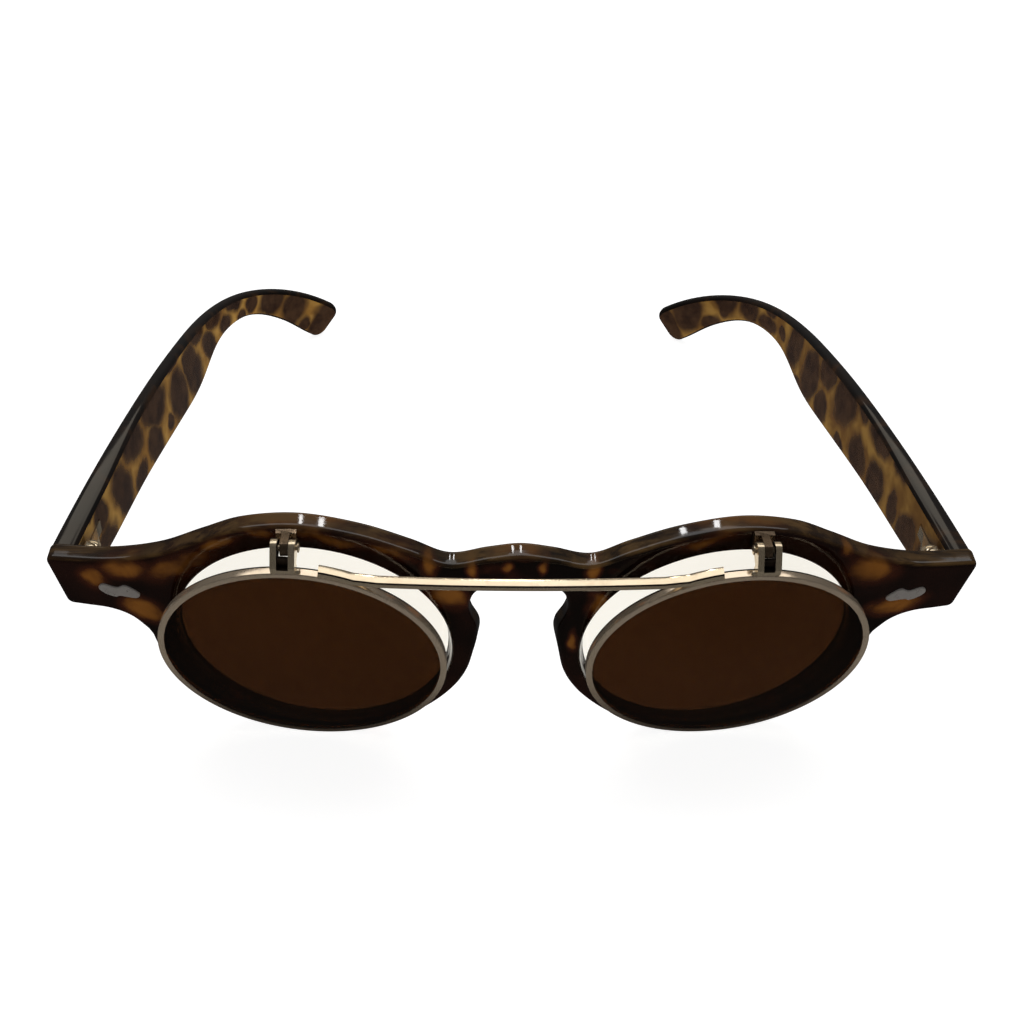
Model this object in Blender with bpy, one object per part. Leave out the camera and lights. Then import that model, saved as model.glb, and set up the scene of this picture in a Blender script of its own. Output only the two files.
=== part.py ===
"""Round tortoiseshell sunglasses with a flip-up pair of tinted lenses, standing open on a table.

Metres, +Z up, the wearer looks along -Y.  "left" and "right" are the wearer's: left is +X.
The origin is under the middle of the object, on the surface that it stands on.
Sizes are written in millimetres times MM.
"""
import math

import bmesh
import bpy
from mathutils import Matrix, Vector

MM = 0.001
SIDES = (("left", 1), ("right", -1))
GAP = 0.3 * MM                      # clearance between pieces that touch on the real object

# Front frame: one moulded plastic piece
FRONT_Y = -63.3 * MM               # middle of the lens openings, on the front face
FRONT_Z = 24.62 * MM
FRONT_TILT = math.radians(6.15)     # top leans forward when the glasses stand on a table
FRONT_DEPTH = 3.6 * MM
EDGE_ROUND = 0.9 * MM
WRAP_SLOPE = 0.0933                 # how far the front sweeps back towards its ends
WRAP_BLEND = 12.0 * MM              # half width of the soft bend across the bridge
LENS_X = 32.4 * MM                  # half the distance between the lens centres
OPENING_RADIUS = 22.1 * MM
OPENING_ROUND = 0.4 * MM
GROOVE_DEPTH = 0.65 * MM
RIM_BOTTOM_RADIUS = 25.25 * MM
RIM_TEMPLE_EXTRA = 1.5 * MM         # the rim is wider towards the temples
RIM_NOSE_EXTRA = 0.1 * MM           # and a little towards the nose
RIM_NOSE_FLAT = 1.1 * MM            # flattened below the nose pads
NOSE_FLARE = 0.8 * MM               # how far the nose pads lean in towards the back
NOSE_PAD_HEIGHT = 2.6 * MM
BROW_LINE = [(0, 22.5), (5, 21.6), (10.8, 20.0), (16.5, 22.5), (24, 25.2), (33, 26.5),
             (41.5, 25.0), (48, 21.8), (54.9, 18.1), (62.5, 16.0), (69.5, 15.6)]
END_TOP = (72.9, 15.6)
END_BOTTOM = (71.4, 4.9)
END_UNDERSIDE = [(68.6, 4.6), (64.7, 4.1), (61.7, 2.5), (59.3, -0.8)]
NOSE_LINE = [(7.15, -2.2), (6.55, 2.0), (6.5, 5.4), (7.3, 8.2), (7.65, 10.2), (7.45, 12.0), (6.8, 13.8),
             (5.3, 15.3), (2.8, 16.2), (0, 16.5)]
END_CORNER_RADIUS = 1.3 * MM

# Lenses
LENS_THICKNESS = 1.5 * MM
LENS_DOME = 0.6 * MM
RING_SEGMENTS = 48

# Wavy metal plaques on the end pieces: outline about the plaque's middle, on the left side
PLAQUE_X = 62.3 * MM
PLAQUE_HEIGHT = 9.2 * MM
PLAQUE_OUTLINE = [(3.2, 0.35), (2.45, -0.8), (0.9, -1.5), (0.0, -1.2), (-2.45, -1.45), (-3.1, -0.2),
                  (-1.2, 1.35), (0.4, 0.8), (2.4, 1.45)]
PLAQUE_THICKNESS = 0.6 * MM
PLAQUE_PROUD = 0.25 * MM
PLAQUE_POCKET = 0.65 * MM

# Temples: path of the outer top edge, as headings along its length (stations in millimetres)
TEMPLE_LENGTH = 147.9 * MM
TEMPLE_START = (72.9 * MM, 5.2 * MM, 40.0 * MM)     # x, y from FRONT_Y, z
INWARD_HEADING = [(0, 2.2), (35, 4.0), (65, 3.6), (85, 4.0), (105, 14.6), (125, 40.0), (147.5, 67.0)]
DOWN_HEADING = [(0, 4.0), (40, 6.2), (70, 11.6), (85, 13.9), (100, 14.6), (115, 17.0), (130, 25.0),
                (147.5, 39.3)]
TEMPLE_WIDTH = [(0, 9.9), (20, 11.9), (45, 13.8), (70, 14.2), (85, 12.9), (100, 7.8), (113, 5.8),
                (121, 5.9), (131, 7.4), (141, 9.2), (147.5, 9.55)]
TEMPLE_THICKNESS = [(0, 4.0), (18, 3.8), (45, 2.8), (147.5, 2.7)]
TEMPLE_CORNER = 1.1 * MM
TIP_ROUND = 2.8 * MM

# Temple hinges: a vertical screw through three knuckles
HINGE_X = 67.3 * MM
HINGE_Y = 7.7 * MM                  # from FRONT_Y
HINGE_Z = 35.0 * MM
KNUCKLE_RADIUS = 1.4 * MM
KNUCKLE_HALF = 1.0 * MM             # half height of the temple's knuckle
HINGE_HALF = 2.9 * MM               # half height of the whole hinge
SCREW_RADIUS = 0.55 * MM
BORE_RADIUS = 0.85 * MM
SCREW_HEAD_RADIUS = 1.15 * MM
SCREW_HEAD_HEIGHT = 0.6 * MM
LEAF_REACH = 8.5 * MM
LEAF_INNER = 1.0 * MM               # leaf and recess, out from the hinge axis
LEAF_OUTER = 2.1 * MM
RECESS_FLOOR = 2.4 * MM

# Flip-up part: two metal rings with tinted lenses, a bar and two hinge arms
FLIP_AXIS_Y = -5.6 * MM             # from FRONT_Y
FLIP_AXIS_Z = 49.6 * MM
FLIP_HINGE_X = {1: 36.0 * MM, -1: 34.5 * MM}         # left and right; the left one sits further out
FLIP_RING_CENTRE = (33.98 * MM, -3.71 * MM, 24.04 * MM)
FLIP_RING_TILT = math.radians(10.85)
FLIP_RING_WRAP = math.radians(3.73)
FLIP_RING_RADIUS = 22.88 * MM
FLIP_RING_WIDTH = 1.3 * MM
FLIP_RING_DEPTH = 1.7 * MM
TINTED_RADIUS = 21.25 * MM
EYE_RADIUS = 1.25 * MM
EAR_WIDTH = 0.95 * MM
EAR_SPACE = 1.5 * MM
TONGUE_WIDTH = 0.95 * MM
PIN_RADIUS = 0.4 * MM
PIN_BORE_RADIUS = 0.7 * MM
BRACKET_PLATE = (3.0 * MM, 1.0 * MM, 3.4 * MM)       # width, thickness, height
BRACKET_PLATE_HEIGHT = 24.5 * MM    # its middle above the lens centres
PEG_SIZE = 1.1 * MM
PEG_LENGTH = 1.6 * MM
PIN_HEAD_RADIUS = 0.95 * MM
PIN_HEAD_LENGTH = 0.6 * MM
BAR_DEPTH = 1.7 * MM
BAR_HEIGHT = 1.1 * MM
BAR_PAD_FROM = -4.5 * MM            # where the bar lies on each ring, across from the ring's middle
BAR_PAD_TO = -9.4 * MM
BAR_BOW = 0.8 * MM                  # the bar arches forward between the rings

TORTOISE = ((0.10, 0.045, 0.02), 0.2, 0.0)
GOLD = ((0.78, 0.66, 0.46), 0.25, 1.0)
SILVER = ((0.62, 0.60, 0.64), 0.3, 1.0)
SMOKE = ((0.06, 0.03, 0.015), 0.08, 0.0)
CLEAR = ((0.9, 0.9, 0.88), 0.05, 0.0)


# ---------------------------------------------------------------- scene and object helpers
def clear_scene():
    for obj in list(bpy.data.objects):
        bpy.data.objects.remove(obj, do_unlink=True)


def make_material(name, look):
    colour, roughness, metallic = look
    mat = bpy.data.materials.new(name)
    mat.use_nodes = True
    shader = mat.node_tree.nodes["Principled BSDF"]
    shader.inputs["Base Color"].default_value = (*colour, 1.0)
    shader.inputs["Roughness"].default_value = roughness
    shader.inputs["Metallic"].default_value = metallic
    return mat


def make_empty(name, location):
    empty = bpy.data.objects.new(name, None)
    empty.location = location
    bpy.context.collection.objects.link(empty)
    bpy.context.view_layer.update()
    return empty


def make_object(name, bm, look=None, parent=None):
    """Turn a world-space bmesh into an object whose origin is its parent's origin."""
    bmesh.ops.recalc_face_normals(bm, faces=bm.faces)
    if parent is not None:
        bm.transform(parent.matrix_world.inverted())
    mesh = bpy.data.meshes.new(name)
    bm.to_mesh(mesh)
    bm.free()
    mesh.shade_smooth()
    mesh.set_sharp_from_angle(angle=math.radians(35))
    obj = bpy.data.objects.new(name, mesh)
    bpy.context.collection.objects.link(obj)
    if look is not None:
        mesh.materials.append(make_material(name + "_material", look))
    if parent is not None:
        obj.parent = parent
    return obj


def add_boolean(obj, operation, bm, label, parent=None):
    """Cut or join a helper solid, which stays in the scene as a wire guide."""
    guide = make_object(obj.name + "_" + label, bm, parent=parent)
    guide.hide_render = True
    guide.display_type = 'WIRE'
    modifier = obj.modifiers.new(label, 'BOOLEAN')
    modifier.operation = operation
    modifier.object = guide


# ---------------------------------------------------------------- curves
def smooth_curve(points, per_span, before=None, after=None):
    """Catmull-Rom curve through points, leaving out the last point."""
    points = [Vector(p) for p in points]
    first = Vector(before) if before else 2 * points[0] - points[1]
    last = Vector(after) if after else 2 * points[-1] - points[-2]
    chain = [first] + points + [last]
    curve = []
    for i in range(1, len(chain) - 2):
        a, b, c, d = chain[i - 1:i + 3]
        for k in range(per_span):
            t = k / per_span
            curve.append(0.5 * (2 * b + (c - a) * t + (2 * a - 5 * b + 4 * c - d) * t * t
                                + (3 * b - a - 3 * c + d) * t ** 3))
    return curve


def interpolate(table, station):
    """Smooth value from a table of (millimetres along, value)."""
    if station <= table[0][0]:
        return table[0][1]
    for i in range(len(table) - 1):
        (s0, v0), (s1, v1) = table[i:i + 2]
        if station <= s1:
            before = table[max(i - 1, 0)]
            after = table[min(i + 2, len(table) - 1)]
            slope0 = (v1 - before[1]) / (s1 - before[0])
            slope1 = (after[1] - v0) / (after[0] - s0)
            h = s1 - s0
            t = (station - s0) / h
            return (v0 * (2 * t ** 3 - 3 * t * t + 1) + slope0 * h * (t ** 3 - 2 * t * t + t)
                    + v1 * (3 * t * t - 2 * t ** 3) + slope1 * h * (t ** 3 - t * t))
    return table[-1][1]


def corner_arc(before, corner, after, radius, steps):
    """Points that round off a corner between two straight edges."""
    corner = Vector(corner)
    to_before = (Vector(before) - corner).normalized()
    to_after = (Vector(after) - corner).normalized()
    half_angle = to_before.angle(to_after) / 2
    centre = corner + (to_before + to_after).normalized() * radius / math.sin(half_angle)
    start = corner + to_before * radius / math.tan(half_angle) - centre
    end = corner + to_after * radius / math.tan(half_angle) - centre
    sweep = start.angle_signed(end)
    return [centre + Matrix.Rotation(-sweep * k / steps, 2) @ start for k in range(steps + 1)]


def inset_loop(outline, distance):
    """Move a closed outline inwards; the outline runs clockwise."""
    moved = []
    count = len(outline)
    for i, point in enumerate(outline):
        along = (outline[(i + 1) % count] - outline[i - 1]).normalized()
        moved.append(point + Vector((along.y, -along.x)) * distance)
    return moved


# ---------------------------------------------------------------- mesh helpers
def add_loop(bm, points):
    return [bm.verts.new(p) for p in points]


def bridge(bm, loop_a, loop_b):
    count = len(loop_a)
    for i in range(count):
        j = (i + 1) % count
        bm.faces.new((loop_a[i], loop_a[j], loop_b[j], loop_b[i]))


def loft(loops):
    """Closed solid through a list of point loops, with flat ends."""
    bm = bmesh.new()
    rings = [add_loop(bm, loop) for loop in loops]
    for ring_a, ring_b in zip(rings, rings[1:]):
        bridge(bm, ring_a, ring_b)
    bm.faces.new(rings[0])
    bm.faces.new(rings[-1])
    return bm


def lathe(profile, segments, closed):
    """Turn (radius, depth) points about the Y axis; an open profile ends on the axis."""
    bm = bmesh.new()
    loops = []
    for radius, depth in profile:
        if radius == 0:
            loops.append([bm.verts.new((0, depth, 0))])
            continue
        angles = [2 * math.pi * k / segments for k in range(segments)]
        loops.append(add_loop(bm, [(radius * math.cos(a), depth, radius * math.sin(a)) for a in angles]))
    pairs = list(zip(loops, loops[1:]))
    if closed:
        pairs.append((loops[-1], loops[0]))
    for loop_a, loop_b in pairs:
        if len(loop_a) == 1 or len(loop_b) == 1:
            pole, rim = (loop_a[0], loop_b) if len(loop_a) == 1 else (loop_b[0], loop_a)
            for i in range(segments):
                bm.faces.new((pole, rim[i], rim[(i + 1) % segments]))
        else:
            bridge(bm, loop_a, loop_b)
    return bm


def box(low, high):
    bm = bmesh.new()
    bmesh.ops.create_cube(bm, size=1.0)
    size = Vector(high) - Vector(low)
    middle = (Vector(high) + Vector(low)) / 2
    bm.transform(Matrix.Translation(middle) @ Matrix.Diagonal((*size, 1.0)))
    return bm


def cylinder(radius, low, high, axis, segments=24):
    """Cylinder along Z or X, from low to high, about the origin."""
    bm = bmesh.new()
    bmesh.ops.create_cone(bm, cap_ends=True, segments=segments, radius1=radius, radius2=radius,
                          depth=high - low)
    bm.transform(Matrix.Translation((0, 0, (high + low) / 2)))
    if axis == 'X':
        bm.transform(Matrix.Rotation(math.pi / 2, 4, 'Y'))
    return bm


def extrude_profile(profile, x_low, x_high):
    """Extrude a (y, z) outline along X."""
    return loft([[(x, y, z) for y, z in profile] for x in (x_low, x_high)])


def moved(bm, matrix):
    bm.transform(matrix)
    return bm


# ---------------------------------------------------------------- front frame
def wrap(x):
    """Depth of the front face at x: a soft bend at the bridge, straight towards the ends."""
    return WRAP_SLOPE * (math.hypot(x, WRAP_BLEND) - math.hypot(LENS_X, WRAP_BLEND))


def front_matrix():
    return Matrix.Translation((0, FRONT_Y, FRONT_Z)) @ Matrix.Rotation(FRONT_TILT, 4, 'X')


def front_outline():
    """Outline of the front, clockwise from the top of the bridge, as (x, height) in metres."""
    half = smooth_curve(BROW_LINE, 2, before=(-5, 21.6), after=END_TOP)
    half.append(Vector(BROW_LINE[-1]))
    radius = END_CORNER_RADIUS / MM
    half += corner_arc(BROW_LINE[-1], END_TOP, END_BOTTOM, radius, 3)
    half += corner_arc(END_TOP, END_BOTTOM, END_UNDERSIDE[0], radius, 3)
    half += smooth_curve(END_UNDERSIDE, 2)
    half = [p * MM for p in half]
    for k in range(26):
        angle = math.radians(-4 - 6.6 * k)
        across = math.cos(angle)
        extra = RIM_TEMPLE_EXTRA if across > 0 else RIM_NOSE_EXTRA
        radius = RIM_BOTTOM_RADIUS + extra * across * across
        if across < 0:
            radius -= RIM_NOSE_FLAT * math.sin(2 * angle) ** 2
        half.append(Vector((LENS_X + radius * across, radius * math.sin(angle))))
    half += [p * MM for p in smooth_curve(NOSE_LINE, 2, after=(-NOSE_LINE[-2][0], NOSE_LINE[-2][1]))]
    keyhole_top = Vector(NOSE_LINE[-1]) * MM
    mirrored = [Vector((-p.x, p.y)) for p in reversed(half[1:])]
    return half + [keyhole_top] + mirrored


def edge_profile(depth, rounding):
    """(inset, depth) steps across an edge that is rounded at the front and the back."""
    lift = rounding * (1 - math.cos(math.pi / 4))
    return [(rounding, 0), (lift, lift), (0, rounding), (0, depth - rounding),
            (lift, depth - lift), (rounding, depth)]


def opening_loops(side):
    """The lens opening with its groove, as loops from front to back."""
    middle = FRONT_DEPTH / 2 + 0.1 * MM
    profile = [(OPENING_ROUND, 0), (0, OPENING_ROUND), (0, middle - 0.6 * MM), (GROOVE_DEPTH, middle),
               (0, middle + 0.6 * MM), (0, FRONT_DEPTH - OPENING_ROUND), (OPENING_ROUND, FRONT_DEPTH)]
    loops = []
    for extra, depth in profile:
        radius = OPENING_RADIUS + extra
        angles = [2 * math.pi * k / RING_SEGMENTS for k in range(RING_SEGMENTS)]
        loops.append([(side * LENS_X + radius * math.cos(a), depth, radius * math.sin(a))
                      for a in angles])
    return loops


def rectangle(x, height, half_width, half_height):
    return [Vector((x + sx * half_width, height + sz * half_height))
            for sx, sz in ((-1, 1), (1, 1), (1, -1), (-1, -1))]


def plaque_outline(side, offset):
    outline = smooth_curve(PLAQUE_OUTLINE + PLAQUE_OUTLINE[:1], 3, before=PLAQUE_OUTLINE[-1],
                           after=PLAQUE_OUTLINE[1])
    outline = [Vector((p.x * MM, p.y * MM)) for p in outline]
    grown = inset_loop(outline, offset)
    return [Vector((side * (PLAQUE_X + p.x), PLAQUE_HEIGHT + p.y)) for p in grown]


def nose_pad_loops(side):
    """A low boss on the back face beside the nose, leaning away from the nose as it rises."""
    loops = []
    for rise, shrink in ((0, 1.0), (1.3, 0.86), (2.2, 0.6), (NOSE_PAD_HEIGHT / MM, 0.25)):
        loop = []
        for k in range(14):
            angle = 2 * math.pi * k / 14
            height = 1.5 + 7.5 * shrink * math.sin(angle)
            middle = 9.0 + 0.018 * (height - 3.0) ** 2 - 0.4 * (height > 6)
            x = middle + 0.85 * shrink * math.cos(angle) + 0.12 * rise
            loop.append((side * x * MM, FRONT_DEPTH + rise * MM, height * MM))
        loops.append(loop)
    return loops


def close_cap(bm, boundary_loops):
    """Fill between an outer loop and the loops inside it, then split the fill for the wrap."""
    edges = []
    for loop in boundary_loops:
        for i, vert in enumerate(loop):
            edges.append(bm.edges.get((vert, loop[(i + 1) % len(loop)])))
    result = bmesh.ops.triangle_fill(bm, edges=edges, use_beauty=True, use_dissolve=False)
    faces = [item for item in result["geom"] if isinstance(item, bmesh.types.BMFace)]
    for x in (-50, -35, -25, -18, -13, -9, -6, -3, 0, 3, 6, 9, 13, 18, 25, 35, 50):
        geometry = set(faces)
        for face in faces:
            geometry.update(face.edges)
            geometry.update(face.verts)
        cut = bmesh.ops.bisect_plane(bm, geom=list(geometry), plane_co=(x * MM, 0, 0),
                                     plane_no=(1, 0, 0), dist=0.001 * MM)
        faces = [item for item in cut["geom"] if isinstance(item, bmesh.types.BMFace)]


def add_recess(bm, outline, face_depth, floor_depth):
    """A pocket in the front or the back face; returns its loop on that face."""
    mouth = add_loop(bm, [(p.x, face_depth, p.y) for p in outline])
    floor = add_loop(bm, [(p.x, floor_depth, p.y) for p in outline])
    bridge(bm, mouth, floor)
    bm.faces.new(floor)
    return mouth


def build_front_frame():
    bm = bmesh.new()
    outline = front_outline()
    shell = []
    for inset, depth in edge_profile(FRONT_DEPTH, EDGE_ROUND):
        shell.append(add_loop(bm, [(p.x, depth, p.y) for p in inset_loop(outline, inset)]))
    for loop_a, loop_b in zip(shell, shell[1:]):
        bridge(bm, loop_a, loop_b)
    front_holes = []
    back_holes = []
    for _, side in SIDES:
        opening = [add_loop(bm, loop) for loop in opening_loops(side)]
        for loop_a, loop_b in zip(opening, opening[1:]):
            bridge(bm, loop_a, loop_b)
        front_holes.append(opening[0])
        back_holes.append(opening[-1])
        front_holes.append(add_recess(bm, plaque_outline(side, -0.25 * MM), 0, PLAQUE_POCKET))
        peg_hole = rectangle(side * FLIP_HINGE_X[side], BRACKET_PLATE_HEIGHT, PEG_SIZE / 2 + GAP,
                             PEG_SIZE / 2 + GAP)
        front_holes.append(add_recess(bm, peg_hole, 0, PEG_LENGTH + GAP))
        tab_hole = rectangle(side * (HINGE_X - 0.2 * MM), (HINGE_Z - FRONT_Z) - 0.1 * MM, 1.4 * MM,
                             HINGE_HALF + GAP)
        back_holes.append(add_recess(bm, tab_hole, FRONT_DEPTH, FRONT_DEPTH - 2.0 * MM))
        pad = [add_loop(bm, loop) for loop in nose_pad_loops(side)]
        for loop_a, loop_b in zip(pad, pad[1:]):
            bridge(bm, loop_a, loop_b)
        bm.faces.new(pad[-1])
        back_holes.append(pad[0])
    close_cap(bm, [shell[0]] + front_holes)
    close_cap(bm, [shell[-1]] + back_holes)
    for vert in bm.verts:
        x, depth, height = vert.co
        closeness = max(0.0, 1 - (abs(x) / MM - 6.0) / 4.0) if abs(x) > 4 * MM else 1.0
        middle = math.exp(-((height / MM - 3.5) / 4.0) ** 2)
        vert.co.x -= math.copysign(NOSE_FLARE * closeness * middle * depth / FRONT_DEPTH, x)
        vert.co.y += wrap(x)
    bm.transform(front_matrix())
    for vert in bm.verts:
        vert.co.z = max(vert.co.z, 0.0)
    bmesh.ops.triangulate(bm, faces=bm.faces)
    make_object("front_frame", bm, TORTOISE, FRONT)


def lens_profile(radius, bevel, depth):
    """(radius, depth) outline of a domed lens with a bevelled edge, front to back."""
    dome = [(0.0, 1.0), (0.55, 0.7)]
    front = [(radius * r, depth - LENS_DOME * h) for r, h in dome]
    back = [(radius * r, depth + LENS_THICKNESS - LENS_DOME * h) for r, h in reversed(dome)]
    middle = depth + LENS_THICKNESS / 2
    edge = [(radius, depth), (radius, middle - 0.3 * MM), (radius + bevel, middle),
            (radius, middle + 0.3 * MM), (radius, depth + LENS_THICKNESS)]
    return front + edge + back


def build_clear_lenses():
    for label, side in SIDES:
        depth = FRONT_DEPTH / 2 + 0.1 * MM - LENS_THICKNESS / 2
        bm = lathe(lens_profile(OPENING_RADIUS - 0.27 * MM, 0.35 * MM, depth), RING_SEGMENTS, False)
        bm.transform(Matrix.Translation((side * LENS_X, 0, 0)))
        for vert in bm.verts:
            vert.co.y += wrap(vert.co.x)
        make_object("clear_lens_" + label, moved(bm, front_matrix()), CLEAR, FRONT)


def build_plaques():
    for label, side in SIDES:
        outline = plaque_outline(side, 0.0)
        top = plaque_outline(side, 0.15 * MM)
        levels = ((top, -PLAQUE_PROUD), (outline, -PLAQUE_PROUD + 0.15 * MM),
                  (outline, PLAQUE_THICKNESS - PLAQUE_PROUD))
        loops = [[(p.x, depth + wrap(p.x), p.y) for p in loop] for loop, depth in levels]
        make_object("plaque_" + label, moved(loft(loops), front_matrix()), SILVER, FRONT)


# ---------------------------------------------------------------- temples
def temple_path(side):
    """Stations every half millimetre: (position, inward normal, downward direction)."""
    step = 0.5
    x, y, z = TEMPLE_START
    y += FRONT_Y
    stations = []
    count = round(TEMPLE_LENGTH / MM / step)
    for k in range(count + 1):
        along = k * step
        inward = math.radians(interpolate(INWARD_HEADING, along))
        down = math.radians(interpolate(DOWN_HEADING, along))
        into = Vector((-side * math.cos(inward), -math.sin(inward), 0))
        below = Vector((side * math.sin(inward) * math.sin(down), -math.cos(inward) * math.sin(down),
                        -math.cos(down)))
        stations.append((Vector((side * x, y, z)), into, below))
        x -= math.sin(inward) * math.cos(down) * step * MM
        y += math.cos(inward) * math.cos(down) * step * MM
        z -= math.sin(down) * step * MM
    return stations


def temple_section(station, along, end_trim):
    """Rounded rectangle across the temple; end_trim narrows it towards the tip."""
    position, into, below = station
    width = interpolate(TEMPLE_WIDTH, along) * MM
    thickness = interpolate(TEMPLE_THICKNESS, along) * MM
    slim = 0.3 * end_trim
    corner = TEMPLE_CORNER * (1 - 0.35 * end_trim / TIP_ROUND)
    corners = ((slim, end_trim, 180), (thickness - slim, end_trim, 270),
               (thickness - slim, width - end_trim, 0), (slim, width - end_trim, 90))
    loop = []
    for across, drop, start in corners:
        centre_across = across + corner * (1 if across < thickness / 2 else -1)
        centre_drop = drop + corner * (1 if drop < width / 2 else -1)
        for turn in (0, 30, 60, 90):
            angle = math.radians(start + turn)
            loop.append(position + into * (centre_across + corner * math.cos(angle))
                        + below * (centre_drop + corner * math.sin(angle)))
    return loop


def butt_to_front(loop, direction):
    """Slide a section's points along the temple until they meet the front's back face."""
    to_front = front_matrix().inverted()
    along = to_front.to_3x3() @ direction
    placed = []
    for point in loop:
        local = to_front @ point
        shift = (FRONT_DEPTH + wrap(local.x) + GAP - local.y) / along.y
        placed.append(point + direction * shift)
    return placed


def build_temple(label, side, axis):
    path = temple_path(side)
    length = TEMPLE_LENGTH / MM
    straight = [4, 8, 14, 22, 30, 38, 46, 54, 62, 70, 77, 83, 88, 93, 98, 103, 108, 113, 118, 123, 128,
                133, 138, 143]
    direction = (path[2][0] - path[0][0]).normalized()
    loops = [butt_to_front(temple_section(path[0], 0, 0), direction)]
    for along in straight:
        loops.append(temple_section(path[round(along * 2)], along, 0))
    for part in (0.35, 0.65, 0.85, 0.97):
        along = length - TIP_ROUND / MM * (1 - part)
        trim = TIP_ROUND * (1 - math.sqrt(1 - part * part))
        loops.append(temple_section(path[round(along * 2)], along, trim))
    temple = make_object("temple_" + label, loft(loops), TORTOISE, axis)
    hinge = Vector((side * HINGE_X, FRONT_Y + HINGE_Y, HINGE_Z))
    low = hinge + Vector((side * -1.5 * MM, -6 * MM, -HINGE_HALF - 0.4 * MM))
    high = hinge + Vector((side * RECESS_FLOOR, LEAF_REACH + 0.5 * MM, HINGE_HALF + 0.9 * MM))
    corner_low = [min(a, b) for a, b in zip(low, high)]
    corner_high = [max(a, b) for a, b in zip(low, high)]
    add_boolean(temple, 'DIFFERENCE', box(corner_low, corner_high), "recess", axis)


def hinge_box(side, low, high):
    """Box given about the temple hinge, with x measured outwards."""
    hinge = Vector((side * HINGE_X, FRONT_Y + HINGE_Y, HINGE_Z))
    a = hinge + Vector((side * low[0], low[1], low[2]))
    b = hinge + Vector((side * high[0], high[1], high[2]))
    return box([min(p, q) for p, q in zip(a, b)], [max(p, q) for p, q in zip(a, b)])


def build_temple_hinge(label, side, axis):
    place = Matrix.Translation((side * HINGE_X, FRONT_Y + HINGE_Y, HINGE_Z))
    inner = KNUCKLE_HALF + GAP

    leaf = make_object("temple_leaf_" + label,
                       moved(cylinder(KNUCKLE_RADIUS, -KNUCKLE_HALF, KNUCKLE_HALF, 'Z'), place),
                       GOLD, axis)
    arm = hinge_box(side, (0.3 * MM, 0, -KNUCKLE_HALF), (LEAF_OUTER, LEAF_REACH, KNUCKLE_HALF))
    add_boolean(leaf, 'UNION', arm, "arm", axis)
    thin = hinge_box(side, (-2 * MM, 2.2 * MM, -2 * MM), (LEAF_INNER, LEAF_REACH + MM, 2 * MM))
    add_boolean(leaf, 'DIFFERENCE', thin, "step", axis)
    bore = moved(cylinder(BORE_RADIUS, -2 * MM, 2 * MM, 'Z'), place)
    add_boolean(leaf, 'DIFFERENCE', bore, "bore", axis)

    front_leaf = make_object("front_leaf_" + label,
                             moved(cylinder(KNUCKLE_RADIUS, -HINGE_HALF, HINGE_HALF, 'Z'), place),
                             GOLD, FRONT)
    tab = box((-1.1 * MM, -1.7 * MM, -HINGE_HALF), (1.1 * MM, 1.2 * MM, HINGE_HALF))
    tab.transform(Matrix.Translation((side * (HINGE_X - 0.2 * MM),
                                      FRONT_DEPTH + wrap(HINGE_X), HINGE_Z - FRONT_Z - 0.1 * MM)))
    add_boolean(front_leaf, 'UNION', moved(tab, front_matrix()), "tab", FRONT)
    web = hinge_box(side, (-1.2 * MM, -1.45 * MM, -HINGE_HALF), (0.7 * MM, 0, HINGE_HALF))
    add_boolean(front_leaf, 'UNION', web, "web", FRONT)
    room = moved(cylinder(KNUCKLE_RADIUS + GAP, -inner, inner, 'Z'), place)
    add_boolean(front_leaf, 'DIFFERENCE', room, "room", FRONT)
    slot = hinge_box(side, (-3 * MM, -0.9 * MM, -inner), (3 * MM, 3 * MM, inner))
    add_boolean(front_leaf, 'DIFFERENCE', slot, "slot", FRONT)
    bore = moved(cylinder(BORE_RADIUS, -2 * HINGE_HALF, 2 * HINGE_HALF, 'Z'), place)
    add_boolean(front_leaf, 'DIFFERENCE', bore, "bore", FRONT)

    head_from = HINGE_HALF + 0.2 * MM
    screw_profile = [(0, -HINGE_HALF), (SCREW_RADIUS, -HINGE_HALF), (SCREW_RADIUS, head_from),
                     (SCREW_HEAD_RADIUS, head_from), (SCREW_HEAD_RADIUS, head_from + 0.35 * MM),
                     (0.7 * SCREW_HEAD_RADIUS, head_from + SCREW_HEAD_HEIGHT),
                     (0, head_from + SCREW_HEAD_HEIGHT)]
    screw = lathe(screw_profile, 20, False)
    screw.transform(Matrix.Rotation(math.pi / 2, 4, 'X'))
    make_object("temple_screw_" + label, moved(screw, place), GOLD, FRONT)


# ---------------------------------------------------------------- flip-up part
def ring_matrix(side):
    x, y, z = FLIP_RING_CENTRE
    return (Matrix.Translation((side * x, FRONT_Y + y, z))
            @ Matrix.Rotation(side * FLIP_RING_WRAP, 4, 'Z') @ Matrix.Rotation(FLIP_RING_TILT, 4, 'X'))


def axis_in_ring(side):
    """Flip axis as (depth, height) in the ring's own frame, at the hinge."""
    axis_point = Vector((side * FLIP_HINGE_X[side], FRONT_Y + FLIP_AXIS_Y, FLIP_AXIS_Z))
    local = ring_matrix(side).inverted() @ axis_point
    return local.y, local.z


def build_ring(label, side):
    outer = FLIP_RING_RADIUS
    inner = FLIP_RING_RADIUS - FLIP_RING_WIDTH
    depth = FLIP_RING_DEPTH
    soft = 0.2 * MM
    middle = depth / 2
    profile = [(outer - soft, 0), (outer, soft), (outer, depth - soft), (outer - soft, depth),
               (inner, depth), (inner, middle + 0.4 * MM), (inner + 0.5 * MM, middle),
               (inner, middle - 0.4 * MM), (inner, 0)]
    ring = lathe(profile, RING_SEGMENTS, True)
    make_object("flip_ring_" + label, moved(ring, ring_matrix(side)), GOLD, FLIP)
    lens = lathe(lens_profile(TINTED_RADIUS, 0.4 * MM, 0.1 * MM), RING_SEGMENTS, False)
    make_object("tinted_lens_" + label, moved(lens, ring_matrix(side)), SMOKE, FLIP)


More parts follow.
